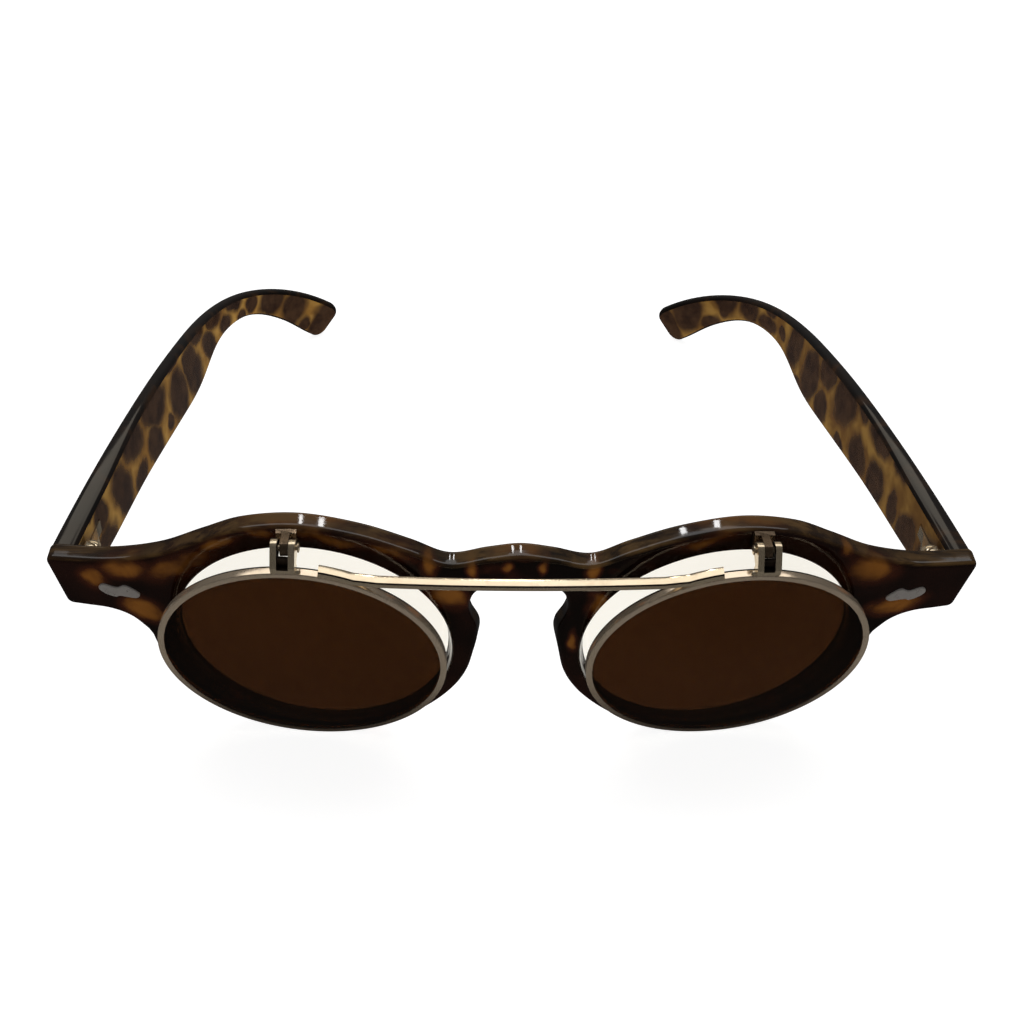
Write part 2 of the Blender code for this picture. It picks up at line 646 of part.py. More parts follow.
def eye_outline(axis_depth, axis_height, foot_front, foot_back, foot_height):
    """Side outline of a hinge arm: a flat foot and a round eye."""
    outline = [(foot_front, foot_height)]
    centre = Vector((axis_depth, axis_height))
    front_foot = Vector((foot_front, foot_height + 1.2 * MM))
    back_foot = Vector((foot_back, foot_height + 0.8 * MM))
    outline.append(tuple(front_foot))
    for foot, turn in ((front_foot, -1), (back_foot, 1)):
        reach = foot - centre
        tangent = math.acos(EYE_RADIUS / reach.length)
        angle = math.atan2(reach.y, reach.x) + turn * tangent
        if turn < 0:
            start_angle = angle
        else:
            end_angle = angle
    if end_angle > start_angle:
        end_angle -= 2 * math.pi
    for k in range(15):
        angle = start_angle + (end_angle - start_angle) * k / 14
        outline.append((centre.x + EYE_RADIUS * math.cos(angle), centre.y + EYE_RADIUS * math.sin(angle)))
    outline.append(tuple(back_foot))
    outline.append((foot_back, foot_height))
    return outline


def build_flip_hinge(label, side):
    """Bracket on the front's rim, forked arm on the ring, and the pin through both."""
    hinge_x = side * FLIP_HINGE_X[side]
    place = ring_matrix(side)
    axis_depth, axis_height = axis_in_ring(side)
    middle_x = hinge_x - side * FLIP_RING_CENTRE[0]
    half = EAR_SPACE / 2 + EAR_WIDTH
    foot_height = FLIP_RING_RADIUS + GAP
    outline = eye_outline(axis_depth, axis_height, 0.1 * MM, FLIP_RING_DEPTH, foot_height)
    arm = make_object("flip_arm_" + label,
                      moved(extrude_profile(outline, middle_x - half, middle_x + half), place),
                      GOLD, FLIP)
    slot_low = (middle_x - EAR_SPACE / 2, -2 * MM, foot_height + 0.9 * MM)
    slot_high = (middle_x + EAR_SPACE / 2, 8 * MM, foot_height + 8 * MM)
    add_boolean(arm, 'DIFFERENCE', moved(box(slot_low, slot_high), place), "slot", FLIP)
    tie = box((middle_x - EAR_SPACE / 2 - 0.2 * MM, 0.5 * MM, foot_height + 1.6 * MM),
              (middle_x + EAR_SPACE / 2 + 0.2 * MM, 1.1 * MM, foot_height + 2.0 * MM))
    add_boolean(arm, 'UNION', moved(tie, place), "tie", FLIP)
    axis_place = Matrix.Translation((hinge_x, FRONT_Y + FLIP_AXIS_Y, FLIP_AXIS_Z))
    bore = moved(cylinder(PIN_BORE_RADIUS, -4 * MM, 4 * MM, 'X'), axis_place)
    add_boolean(arm, 'DIFFERENCE', bore, "bore", FLIP)

    shaft_end = half + 0.1 * MM
    head_from = half + 0.2 * MM
    pin_profile = [(0, -shaft_end), (PIN_RADIUS, -shaft_end), (PIN_RADIUS, head_from),
                   (PIN_HEAD_RADIUS, head_from), (PIN_HEAD_RADIUS, head_from + 0.3 * MM),
                   (0.6 * PIN_HEAD_RADIUS, head_from + PIN_HEAD_LENGTH),
                   (0, head_from + PIN_HEAD_LENGTH)]
    pin = lathe(pin_profile, 20, False)
    pin.transform(Matrix.Rotation(side * math.pi / 2, 4, 'Z'))
    make_object("flip_pin_" + label, moved(pin, axis_place), GOLD, FLIP)

    width, thickness, height = BRACKET_PLATE
    front = front_matrix()
    face = wrap(hinge_x)
    axis_local = front.inverted() @ Vector((hinge_x, FRONT_Y + FLIP_AXIS_Y, FLIP_AXIS_Z))
    eye = []
    for k in range(13):
        angle = math.radians(100 + 170 / 12 * k)
        eye.append((axis_local.y + EYE_RADIUS * math.cos(angle),
                    axis_local.z + EYE_RADIUS * math.sin(angle)))
    plate_front = face - GAP - thickness
    plate_low = BRACKET_PLATE_HEIGHT - height / 2
    plate_high = BRACKET_PLATE_HEIGHT + height / 2
    root = [(plate_front + 0.5 * MM, plate_low + 0.4 * MM), (plate_front + 0.5 * MM, plate_high - 0.1 * MM)]
    tongue = extrude_profile(eye + root, hinge_x - TONGUE_WIDTH / 2,
                             hinge_x + TONGUE_WIDTH / 2)
    bracket = make_object("flip_bracket_" + label, moved(tongue, front), GOLD, FRONT)
    plate = box((hinge_x - width / 2, plate_front, plate_low),
                (hinge_x + width / 2, face - GAP, plate_high))
    add_boolean(bracket, 'UNION', moved(plate, front), "plate", FRONT)
    peg = box((hinge_x - PEG_SIZE / 2, face - GAP - 0.2 * MM,
               BRACKET_PLATE_HEIGHT - PEG_SIZE / 2),
              (hinge_x + PEG_SIZE / 2, face + PEG_LENGTH,
               BRACKET_PLATE_HEIGHT + PEG_SIZE / 2))
    add_boolean(bracket, 'UNION', moved(peg, front), "peg", FRONT)
    bore = moved(cylinder(PIN_BORE_RADIUS, -2 * MM, 2 * MM, 'X'), axis_place)
    add_boolean(bracket, 'DIFFERENCE', bore, "bore", FRONT)


def bar_path():
    """Middle line of the bar from the left ring to the right, with its upward direction."""
    radius = FLIP_RING_RADIUS + GAP + BAR_HEIGHT / 2
    place = ring_matrix(1)
    half = []
    for k in range(5):
        x = BAR_PAD_FROM + (BAR_PAD_TO - BAR_PAD_FROM) * k / 4
        height = math.sqrt(radius * radius - x * x)
        up = place.to_3x3() @ Vector((x, 0, height)).normalized()
        half.append((place @ Vector((x, FLIP_RING_DEPTH / 2, height)), up))
    knee, up = half[-1]
    level = place.to_3x3() @ Vector((0, 0, 1))
    for share in (0.97, 0.93, 0.85, 0.7, 0.5, 0.3, 0.15):
        drop = 0.35 * MM * (1 - max(0.0, (share - 0.85) / 0.15))
        bow = BAR_BOW * (1 - share * share)
        point = Vector((knee.x * share, knee.y - bow, knee.z - drop))
        half.append((point, up.lerp(level, min(1.0, (1 - share) / 0.1)).normalized()))
    middle = (Vector((0, knee.y - BAR_BOW, knee.z - 0.35 * MM)), level.normalized())
    other = [(Vector((-p.x, p.y, p.z)), Vector((-u.x, u.y, u.z))) for p, u in reversed(half)]
    return half + [middle] + other


def build_bar():
    path = bar_path()
    depth_way = ring_matrix(1).to_3x3() @ Vector((0, 1, 0))
    soft = 0.15 * MM
    corners = []
    for sx, sz in ((-1, -1), (1, -1), (1, 1), (-1, 1)):
        beside = (sx * BAR_DEPTH / 2, sz * (BAR_HEIGHT / 2 - soft))
        across = (sx * (BAR_DEPTH / 2 - soft), sz * BAR_HEIGHT / 2)
        corners += [beside, across] if sx == sz else [across, beside]
    loops = []
    for point, up in path:
        depth_dir = Vector((0, depth_way.y, depth_way.z)).normalized()
        depth_dir = (depth_dir - up * depth_dir.dot(up)).normalized()
        loops.append([point + depth_dir * a + up * b for a, b in corners])
    make_object("flip_bar", loft(loops), GOLD, FLIP)


clear_scene()
FRONT = make_empty("front_origin", (0, FRONT_Y, FRONT_Z))
FLIP = make_empty("flip_axis", (0, FRONT_Y + FLIP_AXIS_Y, FLIP_AXIS_Z))
build_front_frame()
build_clear_lenses()
build_plaques()
for side_name, side_sign in SIDES:
    hinge_axis = make_empty("hinge_axis_" + side_name,
                            (side_sign * HINGE_X, FRONT_Y + HINGE_Y, HINGE_Z))
    build_temple(side_name, side_sign, hinge_axis)
    build_temple_hinge(side_name, side_sign, hinge_axis)
    build_ring(side_name, side_sign)
    build_flip_hinge(side_name, side_sign)
build_bar()
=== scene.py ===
"""Looks for the round tortoiseshell flip-up sunglasses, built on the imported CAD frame.

Metres; lengths are written in millimetres times MM. "left" is the wearer's left, +X.
"""
import math
import bmesh
import bpy
from mathutils import Matrix, Vector


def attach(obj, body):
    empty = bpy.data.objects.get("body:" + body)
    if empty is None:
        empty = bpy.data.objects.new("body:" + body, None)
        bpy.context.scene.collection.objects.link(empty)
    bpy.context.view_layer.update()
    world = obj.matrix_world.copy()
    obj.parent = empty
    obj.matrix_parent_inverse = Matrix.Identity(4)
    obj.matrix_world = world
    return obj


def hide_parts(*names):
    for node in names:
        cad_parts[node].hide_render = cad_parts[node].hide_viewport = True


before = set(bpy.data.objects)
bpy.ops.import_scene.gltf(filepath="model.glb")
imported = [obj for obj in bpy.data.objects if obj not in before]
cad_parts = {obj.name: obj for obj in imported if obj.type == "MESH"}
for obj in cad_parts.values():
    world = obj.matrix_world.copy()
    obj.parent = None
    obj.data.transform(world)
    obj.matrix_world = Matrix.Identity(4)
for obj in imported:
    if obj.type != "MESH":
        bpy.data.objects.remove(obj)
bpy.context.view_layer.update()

MM = 0.001
SIDES = (("left", 1), ("right", -1))

# Front
FRONT_Y = -63.3 * MM
FRONT_Z = 24.62 * MM
FRONT_TILT = math.radians(6.15)
FRONT_DEPTH = 3.6 * MM
EDGE_ROUND = 0.85 * MM
WRAP_SLOPE = 0.0933
WRAP_BLEND = 12.0 * MM
LENS_X = 32.4 * MM
OPENING_RADIUS = 22.1 * MM
OPENING_ROUND = 0.35 * MM
OPENING_TAPER = 0.7 * MM
RIM_BOTTOM_RADIUS = 25.25 * MM
RIM_TEMPLE_EXTRA = 1.5 * MM
RIM_NOSE_EXTRA = 0.1 * MM
RIM_NOSE_FLAT = 1.1 * MM
NOSE_FLARE = 0.8 * MM
NOSE_PAD_HEIGHT = 2.6 * MM
BROW_LINE = [(0, 22.5), (5, 21.6), (10.8, 20.0), (16.5, 22.5), (24, 25.2), (33, 26.5),
             (41.5, 25.0), (48, 21.8), (54.9, 18.1), (62.5, 16.0), (69.5, 15.6)]
END_TOP = (72.9, 15.6)
END_BOTTOM = (71.4, 4.9)
END_UNDERSIDE = [(68.6, 4.6), (64.7, 4.1), (61.7, 2.5), (59.3, -0.8)]
NOSE_LINE = [(7.15, -2.2), (6.55, 2.0), (6.5, 5.4), (7.3, 8.2), (7.65, 10.2), (7.45, 12.0), (6.8, 13.8),
             (5.3, 15.3), (2.8, 16.2), (0, 16.5)]
END_CORNER_RADIUS = 1.3 * MM

# Lenses and plaques
LENS_THICKNESS = 1.5 * MM
LENS_DOME = 0.6 * MM
RING_SEGMENTS = 144
PLAQUE_X = 62.3 * MM
PLAQUE_HEIGHT = 9.2 * MM
PLAQUE_OUTLINE = [(3.2, 0.35), (2.45, -0.8), (0.9, -1.5), (0.0, -1.2), (-2.45, -1.45), (-3.1, -0.2),
                  (-1.2, 1.35), (0.4, 0.8), (2.4, 1.45)]
PLAQUE_PROUD = 0.25 * MM

# Temples
TEMPLE_LENGTH = 147.9 * MM
TEMPLE_START = (72.9 * MM, 5.2 * MM, 40.0 * MM)
INWARD_HEADING = [(0, 2.2), (35, 4.0), (65, 3.6), (85, 4.0), (105, 14.6), (125, 40.0), (147.5, 67.0)]
DOWN_HEADING = [(0, 4.0), (40, 6.2), (70, 11.6), (85, 13.9), (100, 14.6), (115, 17.0), (130, 25.0),
                (147.5, 39.3)]
TEMPLE_WIDTH = [(0, 9.9), (20, 11.9), (45, 13.8), (70, 14.2), (85, 12.9), (100, 7.8), (113, 5.8),
                (121, 5.9), (131, 7.4), (141, 9.2), (147.5, 9.55)]
TEMPLE_THICKNESS = [(0, 4.0), (18, 3.8), (45, 2.8), (147.5, 2.7)]
TEMPLE_CORNER = 1.1 * MM
TIP_ROUND = 2.8 * MM
TIP_TOP_SHARE = 0.75                    # the upper corner of the tip is rounded less than the lower
INNER_FACES = range(12, 16)             # faces of a section's band that look at the wearer

# Temple hinges
HINGE_X = 67.3 * MM
HINGE_Y = 7.7 * MM
HINGE_Z = 35.0 * MM
KNUCKLE_RADIUS = 1.4 * MM
KNUCKLE_HALF = 1.0 * MM
HINGE_HALF = 2.9 * MM
SCREW_RADIUS = 0.55 * MM
SCREW_HEAD_RADIUS = 1.15 * MM
SCREW_HEAD_HEIGHT = 0.6 * MM
LEAF_REACH = 8.5 * MM
LEAF_INNER = 1.0 * MM
LEAF_OUTER = 2.1 * MM
RECESS_FLOOR = 2.4 * MM
RECESS_MARGIN = 0.4 * MM
HEAD_ROOM = 0.9 * MM
JOINT_GAP = 0.3 * MM
BORE_GAP = 0.08 * MM

# Flip-up part
FLIP_AXIS_Y = -5.6 * MM
FLIP_AXIS_Z = 49.6 * MM
FLIP_HINGE_X = {1: 36.0 * MM, -1: 34.5 * MM}
FLIP_RING_CENTRE = (33.98 * MM, -3.71 * MM, 24.04 * MM)
FLIP_RING_TILT = math.radians(10.85)
FLIP_RING_WRAP = math.radians(3.73)
FLIP_RING_RADIUS = 22.88 * MM
FLIP_RING_WIDTH = 1.05 * MM
FLIP_RING_DEPTH = 1.7 * MM
EYE_RADIUS = 1.25 * MM
EAR_WIDTH = 0.95 * MM
EAR_SPACE = 1.7 * MM
TONGUE_WIDTH = 1.2 * MM
PIN_RADIUS = 0.4 * MM
BRACKET_PLATE = (3.0 * MM, 0.55 * MM, 3.2 * MM)
BRACKET_PLATE_HEIGHT = 24.5 * MM
PIN_HEAD_RADIUS = 0.75 * MM
PIN_HEAD_LENGTH = 0.32 * MM
BAR_DEPTH = 1.7 * MM
BAR_HEIGHT = 1.1 * MM
BAR_PAD_FROM = -4.5 * MM
BAR_PAD_TO = -9.4 * MM
BAR_BOW = 0.8 * MM
BAR_DROP = 0.35 * MM
BAR_CORNER = 0.26 * MM
BAR_SHARES = (0.985, 0.97, 0.95, 0.93, 0.9, 0.85, 0.78, 0.7, 0.6, 0.5, 0.4, 0.3, 0.22, 0.15, 0.07)

# Room, lights (name, place, aim, size, power, colour) and camera
SKY_BRIGHTEST = (0.0, 0.5, 0.86)
SKY_LEVELS = ((0.3, 0.04), (0.6, 0.05), (0.8, 0.09), (0.92, 0.14))
FLOOR_HALF = 3.0
FLOOR_DROP = 0.0001
LIGHTS = (("ceiling", (0.0, 0.28, 0.95), (0, 0.1, 0), (1.7, 0.54), 4.2, (1, 1, 1)),
          ("window", (0.0, 1.0, 0.68), (0, 0, 0.03), (1.1, 0.24), 0.7, (1.0, 0.9, 0.74)),
          ("lamp_0", (-0.12, 0.415, 0.675), (0, FRONT_Y, 50 * MM), (0.03, 0.045), 0.08, (1, 1, 1)),
          ("lamp_1", (0.03, 0.415, 0.69), (0, FRONT_Y, 50 * MM), (0.03, 0.045), 0.08, (1, 1, 1)))
CAMERA_ANGLES = (39.73, -2.95, 2.27)    # elevation, azimuth and roll
CAMERA_AIM = (0.09 * MM, FRONT_Y + 30.27 * MM, 26.73 * MM)
CAMERA_DISTANCE = 222.4 * MM
CAMERA_LENS = 43.45
CAMERA_SENSOR = 36


# ---------------------------------------------------------------- curves
def smooth_curve(points, per_span, before=None, after=None):
    """Catmull-Rom curve through points, leaving out the last point."""
    points = [Vector(p) for p in points]
    first = Vector(before) if before else 2 * points[0] - points[1]
    last = Vector(after) if after else 2 * points[-1] - points[-2]
    chain = [first] + points + [last]
    curve = []
    for i in range(1, len(chain) - 2):
        a, b, c, d = chain[i - 1:i + 3]
        for k in range(per_span):
            t = k / per_span
            curve.append(0.5 * (2 * b + (c - a) * t + (2 * a - 5 * b + 4 * c - d) * t * t
                                + (3 * b - a - 3 * c + d) * t ** 3))
    return curve


def interpolate(table, station):
    """Smooth value from a table of (millimetres along, value)."""
    if station <= table[0][0]:
        return table[0][1]
    for i in range(len(table) - 1):
        (s0, v0), (s1, v1) = table[i:i + 2]
        if station <= s1:
            before = table[max(i - 1, 0)]
            after = table[min(i + 2, len(table) - 1)]
            slope0 = (v1 - before[1]) / (s1 - before[0])
            slope1 = (after[1] - v0) / (after[0] - s0)
            h = s1 - s0
            t = (station - s0) / h
            return (v0 * (2 * t ** 3 - 3 * t * t + 1) + slope0 * h * (t ** 3 - 2 * t * t + t)
                    + v1 * (3 * t * t - 2 * t ** 3) + slope1 * h * (t ** 3 - t * t))
    return table[-1][1]


def corner_arc(before, corner, after, radius, steps):
    """Points that round off a corner between two straight edges."""
    corner = Vector(corner)
    to_before = (Vector(before) - corner).normalized()
    to_after = (Vector(after) - corner).normalized()
    half_angle = to_before.angle(to_after) / 2
    centre = corner + (to_before + to_after).normalized() * radius / math.sin(half_angle)
    start = corner + to_before * radius / math.tan(half_angle) - centre
    end = corner + to_after * radius / math.tan(half_angle) - centre
    sweep = start.angle_signed(end)
    return [centre + Matrix.Rotation(-sweep * k / steps, 2) @ start for k in range(steps + 1)]


def circle(radius, segments):
    """Points of a circle about the origin."""
    angles = [2 * math.pi * k / segments for k in range(segments)]
    return [(radius * math.cos(a), radius * math.sin(a)) for a in angles]


def arc(centre, radius, start, sweep, steps):
    """Points of an arc about centre, turning through sweep degrees from start."""
    angles = [math.radians(start + sweep * k / steps) for k in range(steps + 1)]
    return [(centre[0] + radius * math.cos(a), centre[1] + radius * math.sin(a)) for a in angles]


def inset_loop(outline, distance):
    """Move a closed outline inwards; the outline runs clockwise."""
    shifted = []
    count = len(outline)
    for i, point in enumerate(outline):
        along = (outline[(i + 1) % count] - outline[i - 1]).normalized()
        shifted.append(point + Vector((along.y, -along.x)) * distance)
    return shifted


# ---------------------------------------------------------------- mesh helpers
def add_loop(bm, points):
    return [bm.verts.new(p) for p in points]


def bridge(bm, loop_a, loop_b):
    faces = []
    count = len(loop_a)
    for i in range(count):
        j = (i + 1) % count
        faces.append(bm.faces.new((loop_a[i], loop_a[j], loop_b[j], loop_b[i])))
    return faces


def skin(bm, rings):
    """Faces between each ring and the next, as one list for each band."""
    return [bridge(bm, ring_a, ring_b) for ring_a, ring_b in zip(rings, rings[1:])]


def loft(loops):
    """Closed solid through a list of point loops, with flat ends."""
    bm = bmesh.new()
    rings = [add_loop(bm, loop) for loop in loops]
    skin(bm, rings)
    bm.faces.new(rings[0])
    bm.faces.new(rings[-1])
    return bm


def lathe(profile, segments, closed=False):
    """Turn (radius, depth) points about the Y axis; an open profile ends on the axis."""
    bm = bmesh.new()
    loops = [add_loop(bm, [(a, depth, b) for a, b in circle(radius, segments if radius else 1)])
             for radius, depth in profile]
    for loop_a, loop_b in zip(loops, loops[1:] + loops[:1] if closed else loops[1:]):
        if len(loop_a) == len(loop_b):
            bridge(bm, loop_a, loop_b)
            continue
        pole, rim = sorted((loop_a, loop_b), key=len)
        for i in range(segments):
            bm.faces.new((pole[0], rim[i], rim[(i + 1) % segments]))
    return bm


def box(low, high):
    bm = bmesh.new()
    bmesh.ops.create_cube(bm, size=1.0)
    size = Vector(high) - Vector(low)
    middle = (Vector(high) + Vector(low)) / 2
    bm.transform(Matrix.Translation(middle) @ Matrix.Diagonal((*size, 1.0)))
    return bm


def cylinder(radius, low, high, axis='Z'):
    """Cylinder about the Z or X axis, from low to high."""
    bm = bmesh.new()
    bmesh.ops.create_cone(bm, cap_ends=True, segments=48, radius1=radius, radius2=radius, depth=high - low)
    bm.transform(Matrix.Translation((0, 0, (high + low) / 2)))
    if axis == 'X':
        bm.transform(Matrix.Rotation(math.pi / 2, 4, 'Y'))
    return bm


def extrude_profile(profile, x_low, x_high):
    """Extrude a (y, z) outline along X."""
    return loft([[(x, y, z) for y, z in profile] for x in (x_low, x_high)])


def moved(bm, matrix):
    bm.transform(matrix)
    return bm


def add_object(name, bm):
    mesh = bpy.data.meshes.new(name)
    bm.to_mesh(mesh)
    bm.free()
    obj = bpy.data.objects.new(name, mesh)
    bpy.context.collection.objects.link(obj)
    return obj


def make_piece(name, bm, body, materials, replaced, angle=35, tools=(), bevel=0.0, weighted=False):
    """Piece that rides on a body and replaces a node; tools are (operation, bmesh), applied in order."""
    bmesh.ops.recalc_face_normals(bm, faces=bm.faces)
    obj = add_object(name, bm)
    for material in materials:
        obj.data.materials.append(material)
    helpers = []
    for operation, tool in tools:
        bmesh.ops.recalc_face_normals(tool, faces=tool.faces)
        helpers.append(add_object(name + "_tool", tool))
        modifier = obj.modifiers.new("cut", 'BOOLEAN')
        modifier.operation = operation
        modifier.object = helpers[-1]
    if bevel:
        modifier = obj.modifiers.new("bevel", 'BEVEL')
        modifier.width = bevel
        modifier.segments = 3
        modifier.limit_method = 'ANGLE'
        modifier.angle_limit = math.radians(35)
    if helpers or bevel:
        bpy.context.view_layer.update()
        graph = bpy.context.evaluated_depsgraph_get()
        baked = bpy.data.meshes.new_from_object(obj.evaluated_get(graph))
        baked.name = name
        obj.modifiers.clear()
        obj.data = baked
        for helper in helpers:
            bpy.data.objects.remove(helper, do_unlink=True)
    obj.data.shade_smooth()
    obj.data.set_sharp_from_angle(angle=math.radians(angle))
    if weighted or bevel:
        modifier = obj.modifiers.new("weighted", 'WEIGHTED_NORMAL')
        modifier.mode = 'FACE_AREA'
        modifier.keep_sharp = True
    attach(obj, body)
    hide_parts(replaced)


# ---------------------------------------------------------------- placing
def wrap(x):
    """Depth of the front face at x: a soft bend at the bridge, straight towards the ends."""
    return WRAP_SLOPE * (math.hypot(x, WRAP_BLEND) - math.hypot(LENS_X, WRAP_BLEND))


def front_matrix():
    return Matrix.Translation((0, FRONT_Y, FRONT_Z)) @ Matrix.Rotation(FRONT_TILT, 4, 'X')


def front_point(x, height, depth=0.0):
    """A point of the front from millimetres across and above the lens centres."""
    local = Vector((x * MM, wrap(x * MM) + depth * MM, height * MM))
    return front_matrix() @ local


def ring_matrix(side):
    x, y, z = FLIP_RING_CENTRE
    return (Matrix.Translation((side * x, FRONT_Y + y, z))
            @ Matrix.Rotation(side * FLIP_RING_WRAP, 4, 'Z') @ Matrix.Rotation(FLIP_RING_TILT, 4, 'X'))


def flip_axis_place(side):
    """Middle of a flip hinge, on the axis."""
    return Matrix.Translation((side * FLIP_HINGE_X[side], FRONT_Y + FLIP_AXIS_Y, FLIP_AXIS_Z))


def hinge_place(side):
    """Middle of a temple hinge, on its axis."""
    return Matrix.Translation((side * HINGE_X, FRONT_Y + HINGE_Y, HINGE_Z))


# ---------------------------------------------------------------- materials
class Nodes:
    """Small helper for building the node tree of a material or a world."""

    def __init__(self, owner, shader="Principled BSDF", space='Object'):
        owner.use_nodes = True
        self.owner = owner
        self.tree = owner.node_tree
        self.shader = self.tree.nodes[shader]
        self.coords = self.add('ShaderNodeTexCoord').outputs[space]

    def add(self, kind, inputs=None, **settings):
        node = self.tree.nodes.new(kind)
        for key, value in settings.items():
            setattr(node, key, value)
        for key, value in (inputs or {}).items():
            self.feed(node.inputs[key], value)
        return node

    def feed(self, socket, value):
        if isinstance(value, bpy.types.NodeSocket):
            self.tree.links.new(value, socket)
        else:
            socket.default_value = value

    def set(self, **values):
        """Feed the shader's own sockets; an underscore stands for a space."""
        for key, value in values.items():
            self.feed(self.shader.inputs[key.replace('_', ' ')], value)

    def math(self, operation, a, b, c=0.0, clamp=False):
        node = self.add('ShaderNodeMath', {0: a, 1: b, 2: c}, operation=operation, use_clamp=clamp)
        return node.outputs[0]

    def height_of(self, vector):
        return self.add('ShaderNodeSeparateXYZ', {'Vector': vector}).outputs['Z']

    def noise(self, size, detail, roughness=0.5, distortion=0.0, stretch=None, output=0):
        """Noise whose features are about size metres across; stretch scales its coordinates."""
        vector = self.coords
        if stretch:
            vector = self.add('ShaderNodeMapping', {'Vector': vector, 'Scale': stretch}).outputs[0]
        node = self.add('ShaderNodeTexNoise', {'Vector': vector, 'Scale': 1.0 / size, 'Detail': detail,
                                               'Roughness': roughness, 'Distortion': distortion})
        return node.outputs[output]

    def spread(self, value, low, high, to_low=0.0, to_high=1.0, kind='SMOOTHSTEP'):
        node = self.add('ShaderNodeMapRange', {'Value': value, 'From Min': low, 'From Max': high,
                                               'To Min': to_low, 'To Max': to_high},
                        interpolation_type=kind)
        return node.outputs[0]

    def mix(self, factor, a, b):
        return self.add('ShaderNodeMix', {0: factor, 6: a, 7: b}, data_type='RGBA').outputs[2]

    def bump(self, height, strength, distance, normal=None):
        inputs = {'Height': height, 'Strength': strength, 'Distance': distance}
        if normal is not None:
            inputs['Normal'] = normal
        return self.add('ShaderNodeBump', inputs).outputs[0]


def material_nodes(name):
    return Nodes(bpy.data.materials.new(name))


def srgb(red, green, blue):
    """Linear colour with alpha from 0-255 display values."""
    def linear(value):
        value /= 255
        return value / 12.92 if value <= 0.04045 else ((value + 0.055) / 1.055) ** 2.4
    return (linear(red), linear(green), linear(blue), 1.0)


def blob_field(nodes, blobs, wobble, wobble_size):
    """Least scaled distance to any of the ellipsoids (frame, half sizes); below 1 is inside."""
    noise = nodes.noise(wobble_size, 2.0, output=1)
    shift = nodes.add('ShaderNodeVectorMath', {0: noise, 1: (0.5, 0.5, 0.5)}, operation='SUBTRACT')
    wobbled = nodes.add('ShaderNodeVectorMath', {0: shift.outputs[0], 1: (wobble, wobble, wobble),
                                                 2: nodes.coords}, operation='MULTIPLY_ADD')
    nearest = None
    for place, size in blobs:
        inside = nodes.add('ShaderNodeMapping',
                           {'Vector': wobbled.outputs[0], 'Location': place.to_translation(),
                            'Rotation': place.to_euler(), 'Scale': size}, vector_type='TEXTURE')
        length = nodes.add('ShaderNodeVectorMath', {0: inside.outputs[0]}, operation='LENGTH')
        distance = length.outputs['Value']
        nearest = distance if nearest is None else nodes.math('SMOOTH_MIN', nearest, distance, 0.18)
    return nearest


def polish(nodes, roughness, ior, grain=None):
    """Slow ripple and smudges of a polished surface; grain stretches a fine ripple along an axis."""
    smudge = nodes.noise(7 * MM, 3.0, 0.6, 0.4)
    normal = nodes.bump(nodes.noise(10 * MM, 1.0, 0.4), 0.1, 0.3 * MM)
    if grain:
        normal = nodes.bump(nodes.noise(2.0 * MM, 2.0, stretch=grain), 0.16, 0.12 * MM, normal)
    nodes.set(Roughness=nodes.spread(smudge, 0.4, 0.75, roughness, roughness * 2.0), Normal=normal, IOR=ior)


def tortoise_front(name, blobs):
    """Dark brown acetate with soft amber clouds inside it, and a streaky painted highlight on the faces
    that look up, standing in for light falling on and through the brow top.
    """
    nodes = material_nodes(name)
    cloud = nodes.spread(blob_field(nodes, blobs, 4.0 * MM, 7.0 * MM), 1.7, 0.15)
    drift = nodes.noise(11 * MM, 3.0, 0.55, 0.8)
    amount = nodes.math('MAXIMUM', cloud, nodes.spread(drift, 0.56, 0.8, 0.0, 0.4))
    patch = nodes.noise(4.5 * MM, 3.0, 0.55, 0.5)
    amount = nodes.math('MULTIPLY', amount, nodes.spread(patch, 0.25, 0.7, 0.75, 1.1), clamp=True)
    dark = nodes.mix(nodes.spread(nodes.noise(16 * MM, 2.0), 0.35, 0.65), srgb(7, 3, 2), srgb(27, 10, 6))
    brown = nodes.mix(nodes.spread(amount, 0.0, 0.5), dark, srgb(52, 22, 10))
    tone = nodes.mix(nodes.spread(amount, 0.4, 1.0), brown, srgb(126, 78, 28))
    # painted highlight: faces that look up are lightened in streaks towards a pale olive brown
    upward = nodes.height_of(nodes.add('ShaderNodeNewGeometry').outputs['Normal'])
    streak = nodes.noise(1.6 * MM, 3.0, 0.6, 0.3, stretch=(0.12, 1.0, 1.0))
    painted_top_light = nodes.math('MULTIPLY', nodes.spread(upward, 0.25, 0.8),
                      nodes.spread(streak, 0.35, 0.65, 0.15, 0.95))
    painted_top_light = nodes.math('MULTIPLY', painted_top_light, nodes.spread(drift, 0.32, 0.6, 0.25, 1.0))
    nodes.set(Base_Color=nodes.mix(painted_top_light, tone, srgb(112, 84, 48)))
    polish(nodes, 0.05, 1.49, (0.06, 1.0, 1.0))
    return nodes.owner


def tortoise_spotted(name, blobs, amber_low, amber_high):
    """Amber acetate with dark brown spots, as on the inner face of a temple."""
    nodes = material_nodes(name)
    field = blob_field(nodes, blobs, 3.0 * MM, 5.0 * MM)
    shade = nodes.noise(7 * MM, 3.0, 0.5, 0.3)
    amber = nodes.mix(nodes.spread(shade, 0.35, 0.65), amber_low, amber_high)
    amber = nodes.mix(nodes.spread(field, 1.6, 1.15, 0.0, 0.6), amber, srgb(96, 66, 38))
    brown = nodes.mix(nodes.spread(nodes.noise(3.5 * MM, 3.0, 0.6), 0.3, 0.7), srgb(50, 33, 24),
                      srgb(76, 53, 36))
    nodes.set(Base_Color=nodes.mix(nodes.spread(field, 1.34, 0.88), amber, brown))
    polish(nodes, 0.1, 1.45)
    return nodes.owner


